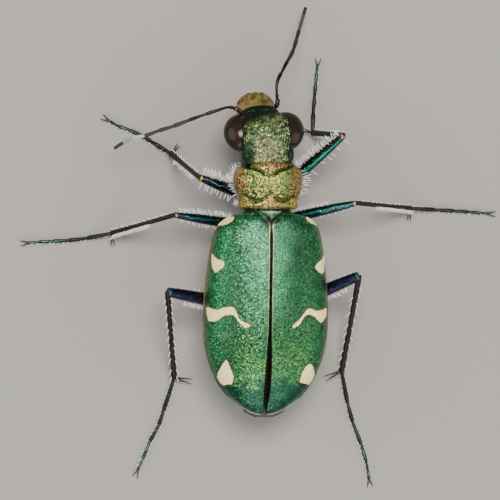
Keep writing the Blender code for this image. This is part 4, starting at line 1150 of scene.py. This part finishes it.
def antenna(side, points, material):
    """Eleven joints along a curve, each a little thicker at its far end."""
    shape = Shape()
    for i, (near, far) in enumerate(zip(ANTENNA_JOINTS, ANTENNA_JOINTS[1:])):
        count = 9 if i < 2 else 26
        share = np.linspace(max(near - 0.004, 0), min(far + 0.004, 1), count)
        path = path_value(points, share)
        t = np.linspace(0, 1, count)
        base, end = (0.1, 0.12) if i == 0 else (0.06, 0.09) if i < 4 else (0.078, 0.105 - 0.004 * (i - 4))
        radius = base + (end - base) * smooth_step(0, 0.9, t)
        radius = np.maximum(radius * rounding(t, measured(path)[1], base * 0.8, end * 0.7), 0.004)
        joint = np.clip(np.maximum(1 - t / 0.06, 1 - (1 - t) / 0.04), 0, 1)
        shape.rings(sweep(path, radius, radius, 18), along=share[:, None], joint=joint[:, None])
    return shape.piece(f"feeler_{side}", material, "antenna", f"antenna_{side}")


# Legs

def leg_kind(leg):
    """front, mid or hind."""
    return leg.split("_")[0]


def add_limb(shape, path, radii, sides, tall=1.0, round_start=0.1, round_end=0.1, lift=0.0, reach=(0, 1)):
    """A stretch of a limb, with each point's height (-1 to 1), front (-1 to 1) and place along it."""
    share = np.linspace(0, 1, len(path))
    radius = curve_value(radii, share) * rounding(share, measured(path)[1], round_start, round_end)
    radius = np.maximum(radius, 0.004)
    angles = ring_angles(sides)
    facing = -1.0 if path[-1][0] > path[0][0] else 1.0
    along = np.interp(share, (0, 1), reach)[:, None]
    values = {"height": np.sin(angles), "front": facing * np.cos(angles), "along": along}
    shape.rings(sweep(path, radius, radius * tall, sides, lift), **values)


def bowed(near, far, count, bow, power=1.5):
    """A path between two points that rises by a bow in its middle."""
    share = eased(count, power)[:, None]
    return near + (far - near) * share + bow * np.sin(math.pi * share) * UP


def femur_path(spec):
    return bowed(np.array(spec.hip), np.array(spec.knee), 70, 0.07)


def tibia_path(spec):
    knee, ankle = np.array(spec.knee), np.array(spec.ankle)
    return bowed(knee, ankle - unit(ankle - knee) * 0.12, 80, 0.04)


def foot_points(spec):
    """The ankle over the floor, and the ends of the foot joints."""
    toes = [np.array((*toe, TARSUS_HEIGHT)) for toe in spec.toes]
    return [np.array((*spec.ankle[:2], ANKLE_HEIGHT)), *toes]


def coxa(leg, material):
    """The leg's root in the body, and the small trochanter that carries the femur."""
    shape = Shape()
    root, hip = np.array(LEGS[leg].coxa), np.array(LEGS[leg].hip)
    radii = COXA_RADII[leg_kind(leg)]
    rings = ball_rings((0, 0, 0), np.array(radii) * COXA_SWELL, 40, 48)
    rings[..., 2] -= 0.08 * np.abs(rings[..., 0])
    shape.rings(rings + root, height=rings[..., 2] / radii[2], front=rings[..., 1] / radii[1])
    stump = root + (hip - root) * (0.35 + 0.85 * np.linspace(0, 1, 24)[:, None])
    add_limb(shape, stump, ((0, 0.24), (0.4, 0.2), (0.8, 0.24), (1, 0.2)), 28, round_end=0.2)
    return shape.piece(f"hip_{leg}", material, "coxa", f"coxa_{leg}")


def femur(leg, material):
    shape = Shape()
    add_limb(shape, femur_path(LEGS[leg]), FEMUR_RADII[leg_kind(leg)], 40, FEMUR_TALL, 0.15, 0.17)
    return shape.piece(f"thigh_{leg}", material, "femur", f"femur_{leg}")


def tibia(leg, material):
    """The shin with its two spurs."""
    shape = Shape()
    path = tibia_path(LEGS[leg])
    add_limb(shape, path, TIBIA_RADII[leg_kind(leg)], 30)
    for turn in (-SPUR_TURN, SPUR_TURN):
        way = Vector((*LEGS[leg].spurs, -0.2)).normalized()
        way.rotate(Matrix.Rotation(turn, 3, "Z"))
        way = np.array(way) * SPUR_LENGTH[leg_kind(leg)]
        spine = [path[-1] + way * share + UP * 0.04 * math.sin(3 * share) for share in (0.05, 0.5, 1.0)]
        tapered(shape, spine, ((0, 0.045), (0.5, 0.034), (1, 0.014)), 10, 16)
    return shape.piece(f"shin_{leg}", material, "tibia", f"tibia_{leg}")


def tarsus(leg, material):
    """Five foot joints, each flaring to its end."""
    shape = Shape()
    joints = foot_points(LEGS[leg])
    joints[0] += unit(tibia_path(LEGS[leg])[-1] - joints[0]) * TARSUS_ROOT
    for i, thick in enumerate(TARSUS_RADII):
        radii = ((0, thick * TARSUS_WAIST), (0.3, thick * 0.85), (0.85, thick), (1, thick * 0.85))
        path = bowed(joints[i], joints[i + 1], 24, 0.03, 1.4)
        reach = (i / len(TARSUS_RADII), (i + 1) / len(TARSUS_RADII))
        add_limb(shape, path, radii, 20, 0.9, 0.05, 0.05, 0.004, reach)
    return shape.piece(f"foot_{leg}", material, "tarsus", f"tarsus_{leg}")


def claws(leg, material):
    """The pair of curved claws at a foot's end."""
    shape = Shape()
    back, root = foot_points(LEGS[leg])[-2:]
    ahead = unit(root - back)
    for out in (-np.cross(ahead, UP), np.cross(ahead, UP)):
        points = [root + CLAW_LENGTH * (ahead * a + out * b) + UP * c for a, b, c in CLAW_CURVE]
        tapered(shape, points, ((0, 0.045), (0.4, 0.034), (1, 0.006)), 12, 24)
    return shape.piece(f"claws_{leg}", material, "tarsus")


# Bristles

class Coat:
    """Fine bent bristles, each a tapering three-sided spike with its patch on the coat's unwrap."""

    SHARES = (0.0, 0.4, 0.75)
    FACES = (
        (0, 2, 1), (0, 1, 4, 3), (1, 2, 5, 4), (2, 0, 3, 5), (3, 4, 7, 6), (4, 5, 8, 7), (5, 3, 6, 8),
        (6, 7, 9), (7, 8, 9), (8, 6, 9),
    )

    def __init__(self, seed):
        self.random = np.random.default_rng(seed)
        self.points, self.spots, self.tints = [], [], []

    def add(self, roots, ways, lengths, bends, radius, spots):
        """Roots, directions, lengths, sideways bends at the tip, and unwrap spots (0 to 1)."""
        ways = unit(ways)
        helper = np.where(np.abs(ways[:, 2:]) < 0.9, UP, np.array((1.0, 0, 0)))
        first = unit(np.cross(ways, helper))
        second = np.cross(ways, first)
        lengths = lengths[:, None]
        rows = []
        for share in self.SHARES:
            middle = roots + ways * lengths * share + bends * share**2
            thick = radius * (1 - 0.45 * share)
            for angle in (0, 2 * math.pi / 3, 4 * math.pi / 3):
                rows.append(middle + thick * (first * math.cos(angle) + second * math.sin(angle)))
        rows.append(roots + ways * lengths + bends)
        self.points.append(np.stack(rows, 1))
        self.spots.append(spots)
        self.tints.append(self.random.uniform(-0.35, 0.25, len(roots)))

    def piece(self, name, material, slot, tile):
        points = np.concatenate(self.points)
        count, per = points.shape[:2]
        faces = [tuple(per * hair + i for i in face) for hair in range(count) for face in self.FACES]
        along = np.tile((*np.repeat(self.SHARES, 3), 1.0), count)
        shape = Shape()
        shape.add(points.reshape(-1, 3), faces, along=along, tint=np.repeat(np.concatenate(self.tints), per))
        thing = shape.piece(name, material, slot)
        mesh = thing.data
        corner = np.zeros(len(mesh.loops), np.int32)
        mesh.loops.foreach_get("vertex_index", corner)
        spots = np.concatenate(self.spots)[corner // per]
        tile_at = np.array((tile % BAKE_TILES, tile // BAKE_TILES))
        patch = np.stack(((corner % per % 3) / 2 - 0.5, along[corner] - 0.5), -1)
        uv = (tile_at + 0.06 + 0.88 * np.clip(spots, 0, 1)) / BAKE_TILES + BAKE_PATCH * patch
        mesh.uv_layers.new(name="OFBake").data.foreach_set("uv", uv.astype(np.float32).ravel())
        return thing


def along_limb(coat, path, radii, tall, side, rows, start, end, spacing, length, lean):
    """Rows of bristles on one side of a limb: side is the angle round it, 0 to the front."""
    ticks, total = measured(path)
    count = max(int((end - start) * total / spacing), 2)
    ahead = unit(path[-1] - path[0])
    across = unit(np.cross(ahead, UP))
    across = across * (-1 if across[1] < 0 else 1)
    above = np.cross(across, ahead)
    above = above * (-1 if above[2] < 0 else 1)
    for row in range(rows):
        angle = side + (row - (rows - 1) / 2) * 0.42
        share = np.linspace(start, end, count) + coat.random.uniform(-0.3, 0.3, count) * (end - start) / count
        share = np.clip(share, 0.02, 0.98)
        middle = np.stack([np.interp(share, ticks, path[:, i]) for i in range(3)], -1)
        turn = angle + coat.random.normal(0, 0.1, count)[:, None]
        out = across * np.cos(turn) + above * np.sin(turn) * tall
        roots = middle + out * curve_value(radii, share)[:, None] * 0.85
        ways = unit(out) + ahead * (lean + coat.random.normal(0, 0.12, count))[:, None]
        ways += coat.random.normal(0, 0.07, (count, 3))
        lengths = length * coat.random.uniform(0.72, 1.12, count)
        forward = 0.25 * lengths * coat.random.uniform(0.2, 1, count)
        bends = ahead * forward[:, None] - UP * (0.1 * lengths)[:, None]
        spots = np.stack((share, np.full(count, (angle / (2 * math.pi)) % 1)), -1)
        coat.add(roots, ways, lengths, bends, BRISTLE_RADIUS, spots)


FRONT, REAR, UNDER = 0.0, math.pi, -math.pi / 2
# For each leg: limb, side, rows, start, end, spacing, length and lean of its bristles
BRISTLES = {
    "front_left": (
        ("femur", FRONT + 0.2, 3, 0.08, 0.92, 0.12, 0.52, 0.05),
        ("femur", REAR, 1, 0.1, 0.9, 0.17, 0.4, -0.1),
        ("femur", UNDER, 2, 0.1, 0.9, 0.15, 0.3, 0.1),
        ("tibia", REAR, 1, 0.08, 0.8, 0.15, 0.27, 0.4),
        ("tibia", FRONT + 0.5, 2, 0.1, 0.95, 0.24, 0.24, 1.1),
        ("tarsus", REAR, 1, 0.05, 0.95, 0.2, 0.16, 0.8),
    ),
    "front_right": (
        ("femur", FRONT + 0.2, 3, 0.05, 0.95, 0.15, 0.44, 0.1),
        ("femur", REAR, 1, 0.08, 0.95, 0.36, 0.4, 0.2),
        ("femur", UNDER, 2, 0.1, 0.9, 0.16, 0.3, 0.1),
        ("tibia", REAR, 1, 0.1, 0.9, 0.2, 0.16, 0.6),
        ("tibia", FRONT, 2, 0.1, 0.9, 0.2, 0.16, 0.6),
        ("tarsus", REAR, 1, 0.05, 0.95, 0.2, 0.12, 0.8),
    ),
    "mid_left": (
        ("femur", FRONT + 0.1, 2, 0.05, 0.9, 0.1, 0.34, 0.45),
        ("femur", REAR, 1, 0.2, 0.9, 0.15, 0.22, 0.1),
        ("femur", UNDER, 2, 0.1, 0.9, 0.16, 0.26, 0.2),
        ("tibia", REAR, 4, 0.4, 0.98, 0.07, 0.28, 0.9),
        ("tibia", FRONT + 0.3, 1, 0.08, 0.95, 0.26, 0.24, 1.0),
        ("tarsus", REAR, 1, 0.02, 0.95, 0.2, 0.13, 0.9),
    ),
    "mid_right": (
        ("femur", FRONT + 0.1, 2, 0.02, 0.62, 0.12, 0.27, -0.2),
        ("femur", REAR, 1, 0.1, 0.9, 0.3, 0.15, 0.2),
        ("femur", UNDER, 2, 0.1, 0.9, 0.18, 0.24, 0.2),
        ("tibia", REAR, 4, 0.35, 0.98, 0.07, 0.26, 0.9),
        ("tibia", FRONT + 0.3, 1, 0.08, 0.95, 0.28, 0.2, 1.0),
        ("tarsus", REAR, 1, 0.02, 0.95, 0.22, 0.13, 0.9),
    ),
    "hind_left": (
        ("femur", REAR, 2, 0.02, 0.7, 0.13, 0.32, 0.2),
        ("femur", FRONT, 1, 0.02, 0.9, 0.3, 0.18, 0.3),
        ("femur", UNDER, 1, 0.1, 0.9, 0.2, 0.22, 0.2),
        ("tibia", REAR - 0.5, 1, 0.06, 0.97, 0.4, 0.3, 1.5),
        ("tibia", FRONT + 0.6, 1, 0.05, 0.97, 0.38, 0.36, 1.5),
        ("tarsus", REAR, 1, 0.02, 0.95, 0.22, 0.13, 0.9),
        ("tarsus", FRONT, 1, 0.02, 0.95, 0.24, 0.13, 0.9),
    ),
    "hind_right": (
        ("femur", REAR, 2, 0.02, 0.75, 0.12, 0.34, 0.2),
        ("femur", FRONT, 1, 0.02, 0.9, 0.3, 0.18, 0.3),
        ("femur", UNDER, 1, 0.1, 0.9, 0.2, 0.22, 0.2),
        ("tibia", REAR - 0.5, 1, 0.1, 0.97, 0.42, 0.32, 1.2),
        ("tibia", FRONT + 0.4, 1, 0.2, 0.97, 0.42, 0.34, 1.0),
        ("tarsus", REAR, 1, 0.02, 0.95, 0.22, 0.13, 0.9),
        ("tarsus", FRONT, 1, 0.02, 0.95, 0.24, 0.13, 0.9),
    ),
}


def leg_bristles(leg, seed, material):
    spec, kind = LEGS[leg], leg_kind(leg)
    coat = Coat(seed)
    foot = path_value(foot_points(spec), np.linspace(0, 1, 60))
    limbs = {
        "femur": (femur_path(spec), FEMUR_RADII[kind], FEMUR_TALL),
        "tibia": (tibia_path(spec), TIBIA_RADII[kind], 1.0),
        "tarsus": (foot, ((0, 0.08), (1, 0.07)), 0.8),
    }
    for limb, *rest in BRISTLES[leg]:
        along_limb(coat, *limbs[limb], *rest)
    coat.piece(f"bristles_{leg}", material, "femur", seed)


def corner_fans(coat):
    """Longer white hairs spreading from the front corners of the prothorax."""
    for root, start, end, count in (((-1.38, 3.55, 3.25), 95, 165, 14), ((1.66, 3.3, 3.2), 25, -35, 9)):
        angle = np.radians(np.linspace(start, end, count) + coat.random.normal(0, 4, count))
        ways = np.stack((np.cos(angle), np.sin(angle), coat.random.normal(0.05, 0.12, count)), -1)
        out = np.linspace(0, math.copysign(0.08, root[0]), count)
        roots = np.array(root) + np.stack((out, np.linspace(0, -0.55, count), np.zeros(count)), -1)
        lengths = 0.5 * coat.random.uniform(0.75, 1.1, count)
        bends = coat.random.normal(0, 0.03, (count, 3))
        spots = np.stack((np.full(count, 0.8), np.linspace(0.1, 0.2, count)), -1)
        coat.add(roots, ways, lengths, bends, 0.022, spots)


def flank(part, y):
    """The centre x, half-width, side height and bottom of a body part at each y."""
    if part == "prothorax":
        half, bottom = curve_value(PROTHORAX_HALF_WIDTH, y), curve_value(PROTHORAX_BOTTOM, y)
        return PROTHORAX_X, half, PROTHORAX_MID_Z, bottom
    return midline(y), curve_value(BODY_HALF_WIDTH, y), curve_value(BODY_SIDE_Z, y), curve_value(BELLY, y)


def side_bristles(material):
    """White down on the flanks of the prothorax and thorax, and tufts at the front corners."""
    for i, (part, (low, high, count, length)) in enumerate(DOWN.items()):
        coat = Coat(DOWN_SEED + i)
        y = coat.random.uniform(low, high, count)
        sign = np.where(coat.random.random(count) < 0.5, -1.0, 1.0)
        angle = coat.random.uniform(-1.15, -0.12, count)
        centre, half, middle, bottom = flank(part, y)
        out = np.cos(angle) ** (2 / BODY_POWER)
        down = np.abs(np.sin(angle)) ** (2 / BODY_POWER)
        z = middle - (middle - bottom) * down * 0.985
        roots = np.stack((centre + sign * half * out * 0.985, y, z), -1)
        back = coat.random.normal(-0.25, 0.25, count)
        ways = np.stack((sign * np.cos(angle), back, 0.6 * np.sin(angle)), -1)
        ways += coat.random.normal(0, 0.18, (count, 3))
        lengths = length * coat.random.uniform(0.6, 1.15, count)
        bends = -UP * (0.2 * lengths)[:, None] + coat.random.normal(0, 0.04, (count, 3))
        spots = np.stack(((y - low) / (high - low), 0.5 + sign * (0.1 + 0.3 * (angle + 1.2))), -1)
        coat.add(roots, ways, lengths, bends, 0.02, spots)
        if part == "prothorax":
            corner_fans(coat)
        coat.piece(f"bristles_{part}", material, part, DOWN_TILE + i)


# Studio

# Each lamp's place and size in mm, power in watts and colour
LAMPS = {
    "key": ((2, 85, 300), 140, 1.35, (1, 0.97, 0.92)),
    "fill_left": ((-260, 40, 170), 320, 0.55, (0.92, 0.96, 1)),
    "fill_right": ((250, -90, 160), 320, 0.45, (1, 0.98, 0.95)),
    "fill_rear": ((10, -260, 190), 240, 0.5, (1, 0.98, 0.95)),
}
LAMP_TARGET = (0, 0, 3)
FLOOR_REACH = 900
SURROUND = {"Color": (0.86, 0.9, 0.95, 1), "Strength": 0.32}


def placed(name, data):
    """An object with its data, linked into the scene."""
    thing = bpy.data.objects.new(name, data)
    bpy.context.scene.collection.objects.link(thing)
    return thing


def look_from(thing, location, target, up):
    back = (Vector(location) - Vector(target)).normalized()
    right = Vector(up).cross(back).normalized()
    turn = Matrix((right, back.cross(right), back)).transposed().to_4x4()
    thing.matrix_world = Matrix.Translation(Vector(location) * METRES_PER_MM) @ turn


def camera():
    data = bpy.data.cameras.new("camera")
    data.sensor_width = SENSOR
    data.lens = SENSOR * VIEW_DISTANCE / (IMAGE_PIXELS * MM_PER_PIXEL)
    data.clip_start, data.clip_end = 0.01, 3.0
    thing = placed("camera", data)
    lean = Vector((-math.sin(VIEW_TILT), 0, math.cos(VIEW_TILT))) * VIEW_DISTANCE
    look_from(thing, Vector(VIEW_TARGET) + lean, VIEW_TARGET, (0, 1, 0))
    bpy.context.scene.camera = thing


def lamp(name, location, size, power, colour):
    data = bpy.data.lights.new(name, "AREA")
    data.shape = "DISK"
    data.size = size * METRES_PER_MM
    data.energy = power
    data.color = colour
    look_from(placed(name, data), location, LAMP_TARGET, (0, 1, 0.01))


def studio():
    """A pale floor, an overhead key light, three soft fills and a dim pale surround."""
    size = FLOOR_REACH * METRES_PER_MM
    mesh = bpy.data.meshes.new("floor")
    corners = [(-size, -size, 0), (size, -size, 0), (size, size, 0), (-size, size, 0)]
    mesh.from_pydata(corners, [], [(0, 1, 2, 3)])
    mesh.materials.append(floor_paint())
    floor = placed("floor", mesh)
    for name, settings in LAMPS.items():
        lamp(name, *settings)
    world = bpy.data.worlds.new("surround")
    bpy.context.scene.world = world
    world.use_nodes = True
    for socket, value in SURROUND.items():
        world.node_tree.nodes["Background"].inputs[socket].default_value = value


# Thigh colours: stripes from the rear side to the front one, with painted reflections in their bright bands,
# the underside, and a painted glint at the knee
NIGHT = (0.008, 0.008, 0.014)
DUSK = (0.03, 0.012, 0.025)
NAVY = (0.01, 0.014, 0.05)
PLUM = (0.05, 0.012, 0.05)
THIGHS = {
    "front_left": (
        (
            (0.0, NAVY), (0.36, NIGHT), (0.46, (0.02, 0.13, 0.14)), (0.52, (0.2, 0.34, 0.34)),
            (0.58, NAVY), (0.75, NIGHT),
        ),
        NAVY, (0.5, 0.4, 0.05),
    ),
    "front_right": (
        (
            (0.1, NAVY), (0.22, (0.01, 0.1, 0.1)), (0.3, (0.005, 0.17, 0.1)), (0.46, (0.01, 0.2, 0.1)),
            (0.55, NIGHT),
        ),
        (0.01, 0.015, 0.05), (0.6, 0.2, 0.09),
    ),
    "mid_left": (
        ((0.1, DUSK), (0.35, NAVY), (0.48, (0.01, 0.16, 0.13)), (0.6, (0.01, 0.05, 0.07)), (0.7, NIGHT)),
        NAVY, (0.3, 0.22, 0.12),
    ),
    "mid_right": (
        (
            (0.08, (0.08, 0.02, 0.08)), (0.22, NAVY), (0.4, (0.01, 0.12, 0.11)), (0.5, (0.03, 0.3, 0.2)),
            (0.62, (0.01, 0.09, 0.1)), (0.8, NIGHT),
        ),
        DUSK, (0.4, 0.45, 0.42),
    ),
    "hind_left": (((0.05, PLUM), (0.25, NAVY), (0.6, NIGHT), (0.9, NAVY)), DUSK, (0.03, 0.1, 0.12)),
    "hind_right": (((0.05, PLUM), (0.25, NAVY), (0.6, NIGHT), (0.9, NAVY)), DUSK, (0.03, 0.12, 0.14)),
}
HIP_STRIPES = ((0.0, (0.02, 0.06, 0.06)), (1.0, (0.03, 0.12, 0.09)))
SHIN_STRIPES = ((0.3, (0.012, 0.006, 0.008)), (0.5, (0.03, 0.012, 0.012)), (0.7, (0.012, 0.006, 0.008)))
# The foot's teal middle band is a painted glint line
FOOT_STRIPES = ((0.35, (0.006, 0.005, 0.006)), (0.5, (0.006, 0.02, 0.016)), (0.65, (0.006, 0.005, 0.006)))

# Feeler colours, each from a share of the feeler's length onwards: painted light and shade along the left
# feeler's downy joints, painted shade over the right feeler
BLACK = (0.014, 0.011, 0.011)
FEELERS = {
    "left": (
        ANTENNA_LEFT,
        (
            (0.0, (0.024, 0.016, 0.022)), (0.757, (0.45, 0.46, 0.44)), (0.85, (0.26, 0.26, 0.28)),
            (0.92, BLACK),
        ),
    ),
    "right": (ANTENNA_RIGHT, ((0.0, BLACK), (0.757, (0.06, 0.055, 0.055)), (0.92, BLACK))),
}


def build():
    wing = wing_paint()
    for side in SIGN:
        wing_case(side, wing)
    abdomen(belly_paint())
    thorax(plate_paint("breast_plate", (0.006, 0.03, 0.02), (0.03, 0.1, 0.06)))
    # The painted highlight along the scutellum's front edge
    front_highlight = (0.13, 0.23, 0.16)
    scutellum(plate_paint("scutellum_plate", (0.008, 0.035, 0.018), (0.05, 0.13, 0.065), 0.35, 0.06, front_highlight))
    prothorax(shield_paint())
    head(capsule_paint())
    eye_brown = eye_paint()
    jaw = horn_paint("jaw_horn", (0.14, 0.09, 0.04), (0.02, 0.012, 0.01))
    mouth = horn_paint("palp_horn", (0.1, 0.065, 0.04), (0.012, 0.035, 0.03), 0.4)
    for side in SIGN:
        eye(side, eye_brown)
        mandible(side, jaw)
        maxilla(side, mouth)
    labrum(labrum_paint())
    labium(mouth)
    for side, (points, down) in FEELERS.items():
        antenna(side, points, feeler_paint(f"antenna_{side}_joints", down))
    hip = limb_paint("hip_plate", HIP_STRIPES, (0.03, 0.03, 0.06), NIGHT, 0.13)
    thighs = {leg: limb_paint(f"thigh_{leg}", *colours) for leg, colours in THIGHS.items()}
    shin = limb_paint("shin_shell", SHIN_STRIPES, DUSK, NIGHT, 0.2, 0.1, None, 0.4)
    # The foot's green-cyan patches are painted glints
    foot = limb_paint("foot_shell", FOOT_STRIPES, NIGHT, NIGHT, 0.22, 0.2, (0.03, 0.2, 0.15), 0.4)
    claw = horn_paint("claw_horn", (0.03, 0.016, 0.01), (0.012, 0.008, 0.006))
    bristle = bristle_paint()
    for i, leg in enumerate(LEGS):
        coxa(leg, hip)
        femur(leg, thighs[leg])
        tibia(leg, shin)
        tarsus(leg, foot)
        claws(leg, claw)
        leg_bristles(leg, i, bristle)
    side_bristles(bristle)


build()
camera()
studio()
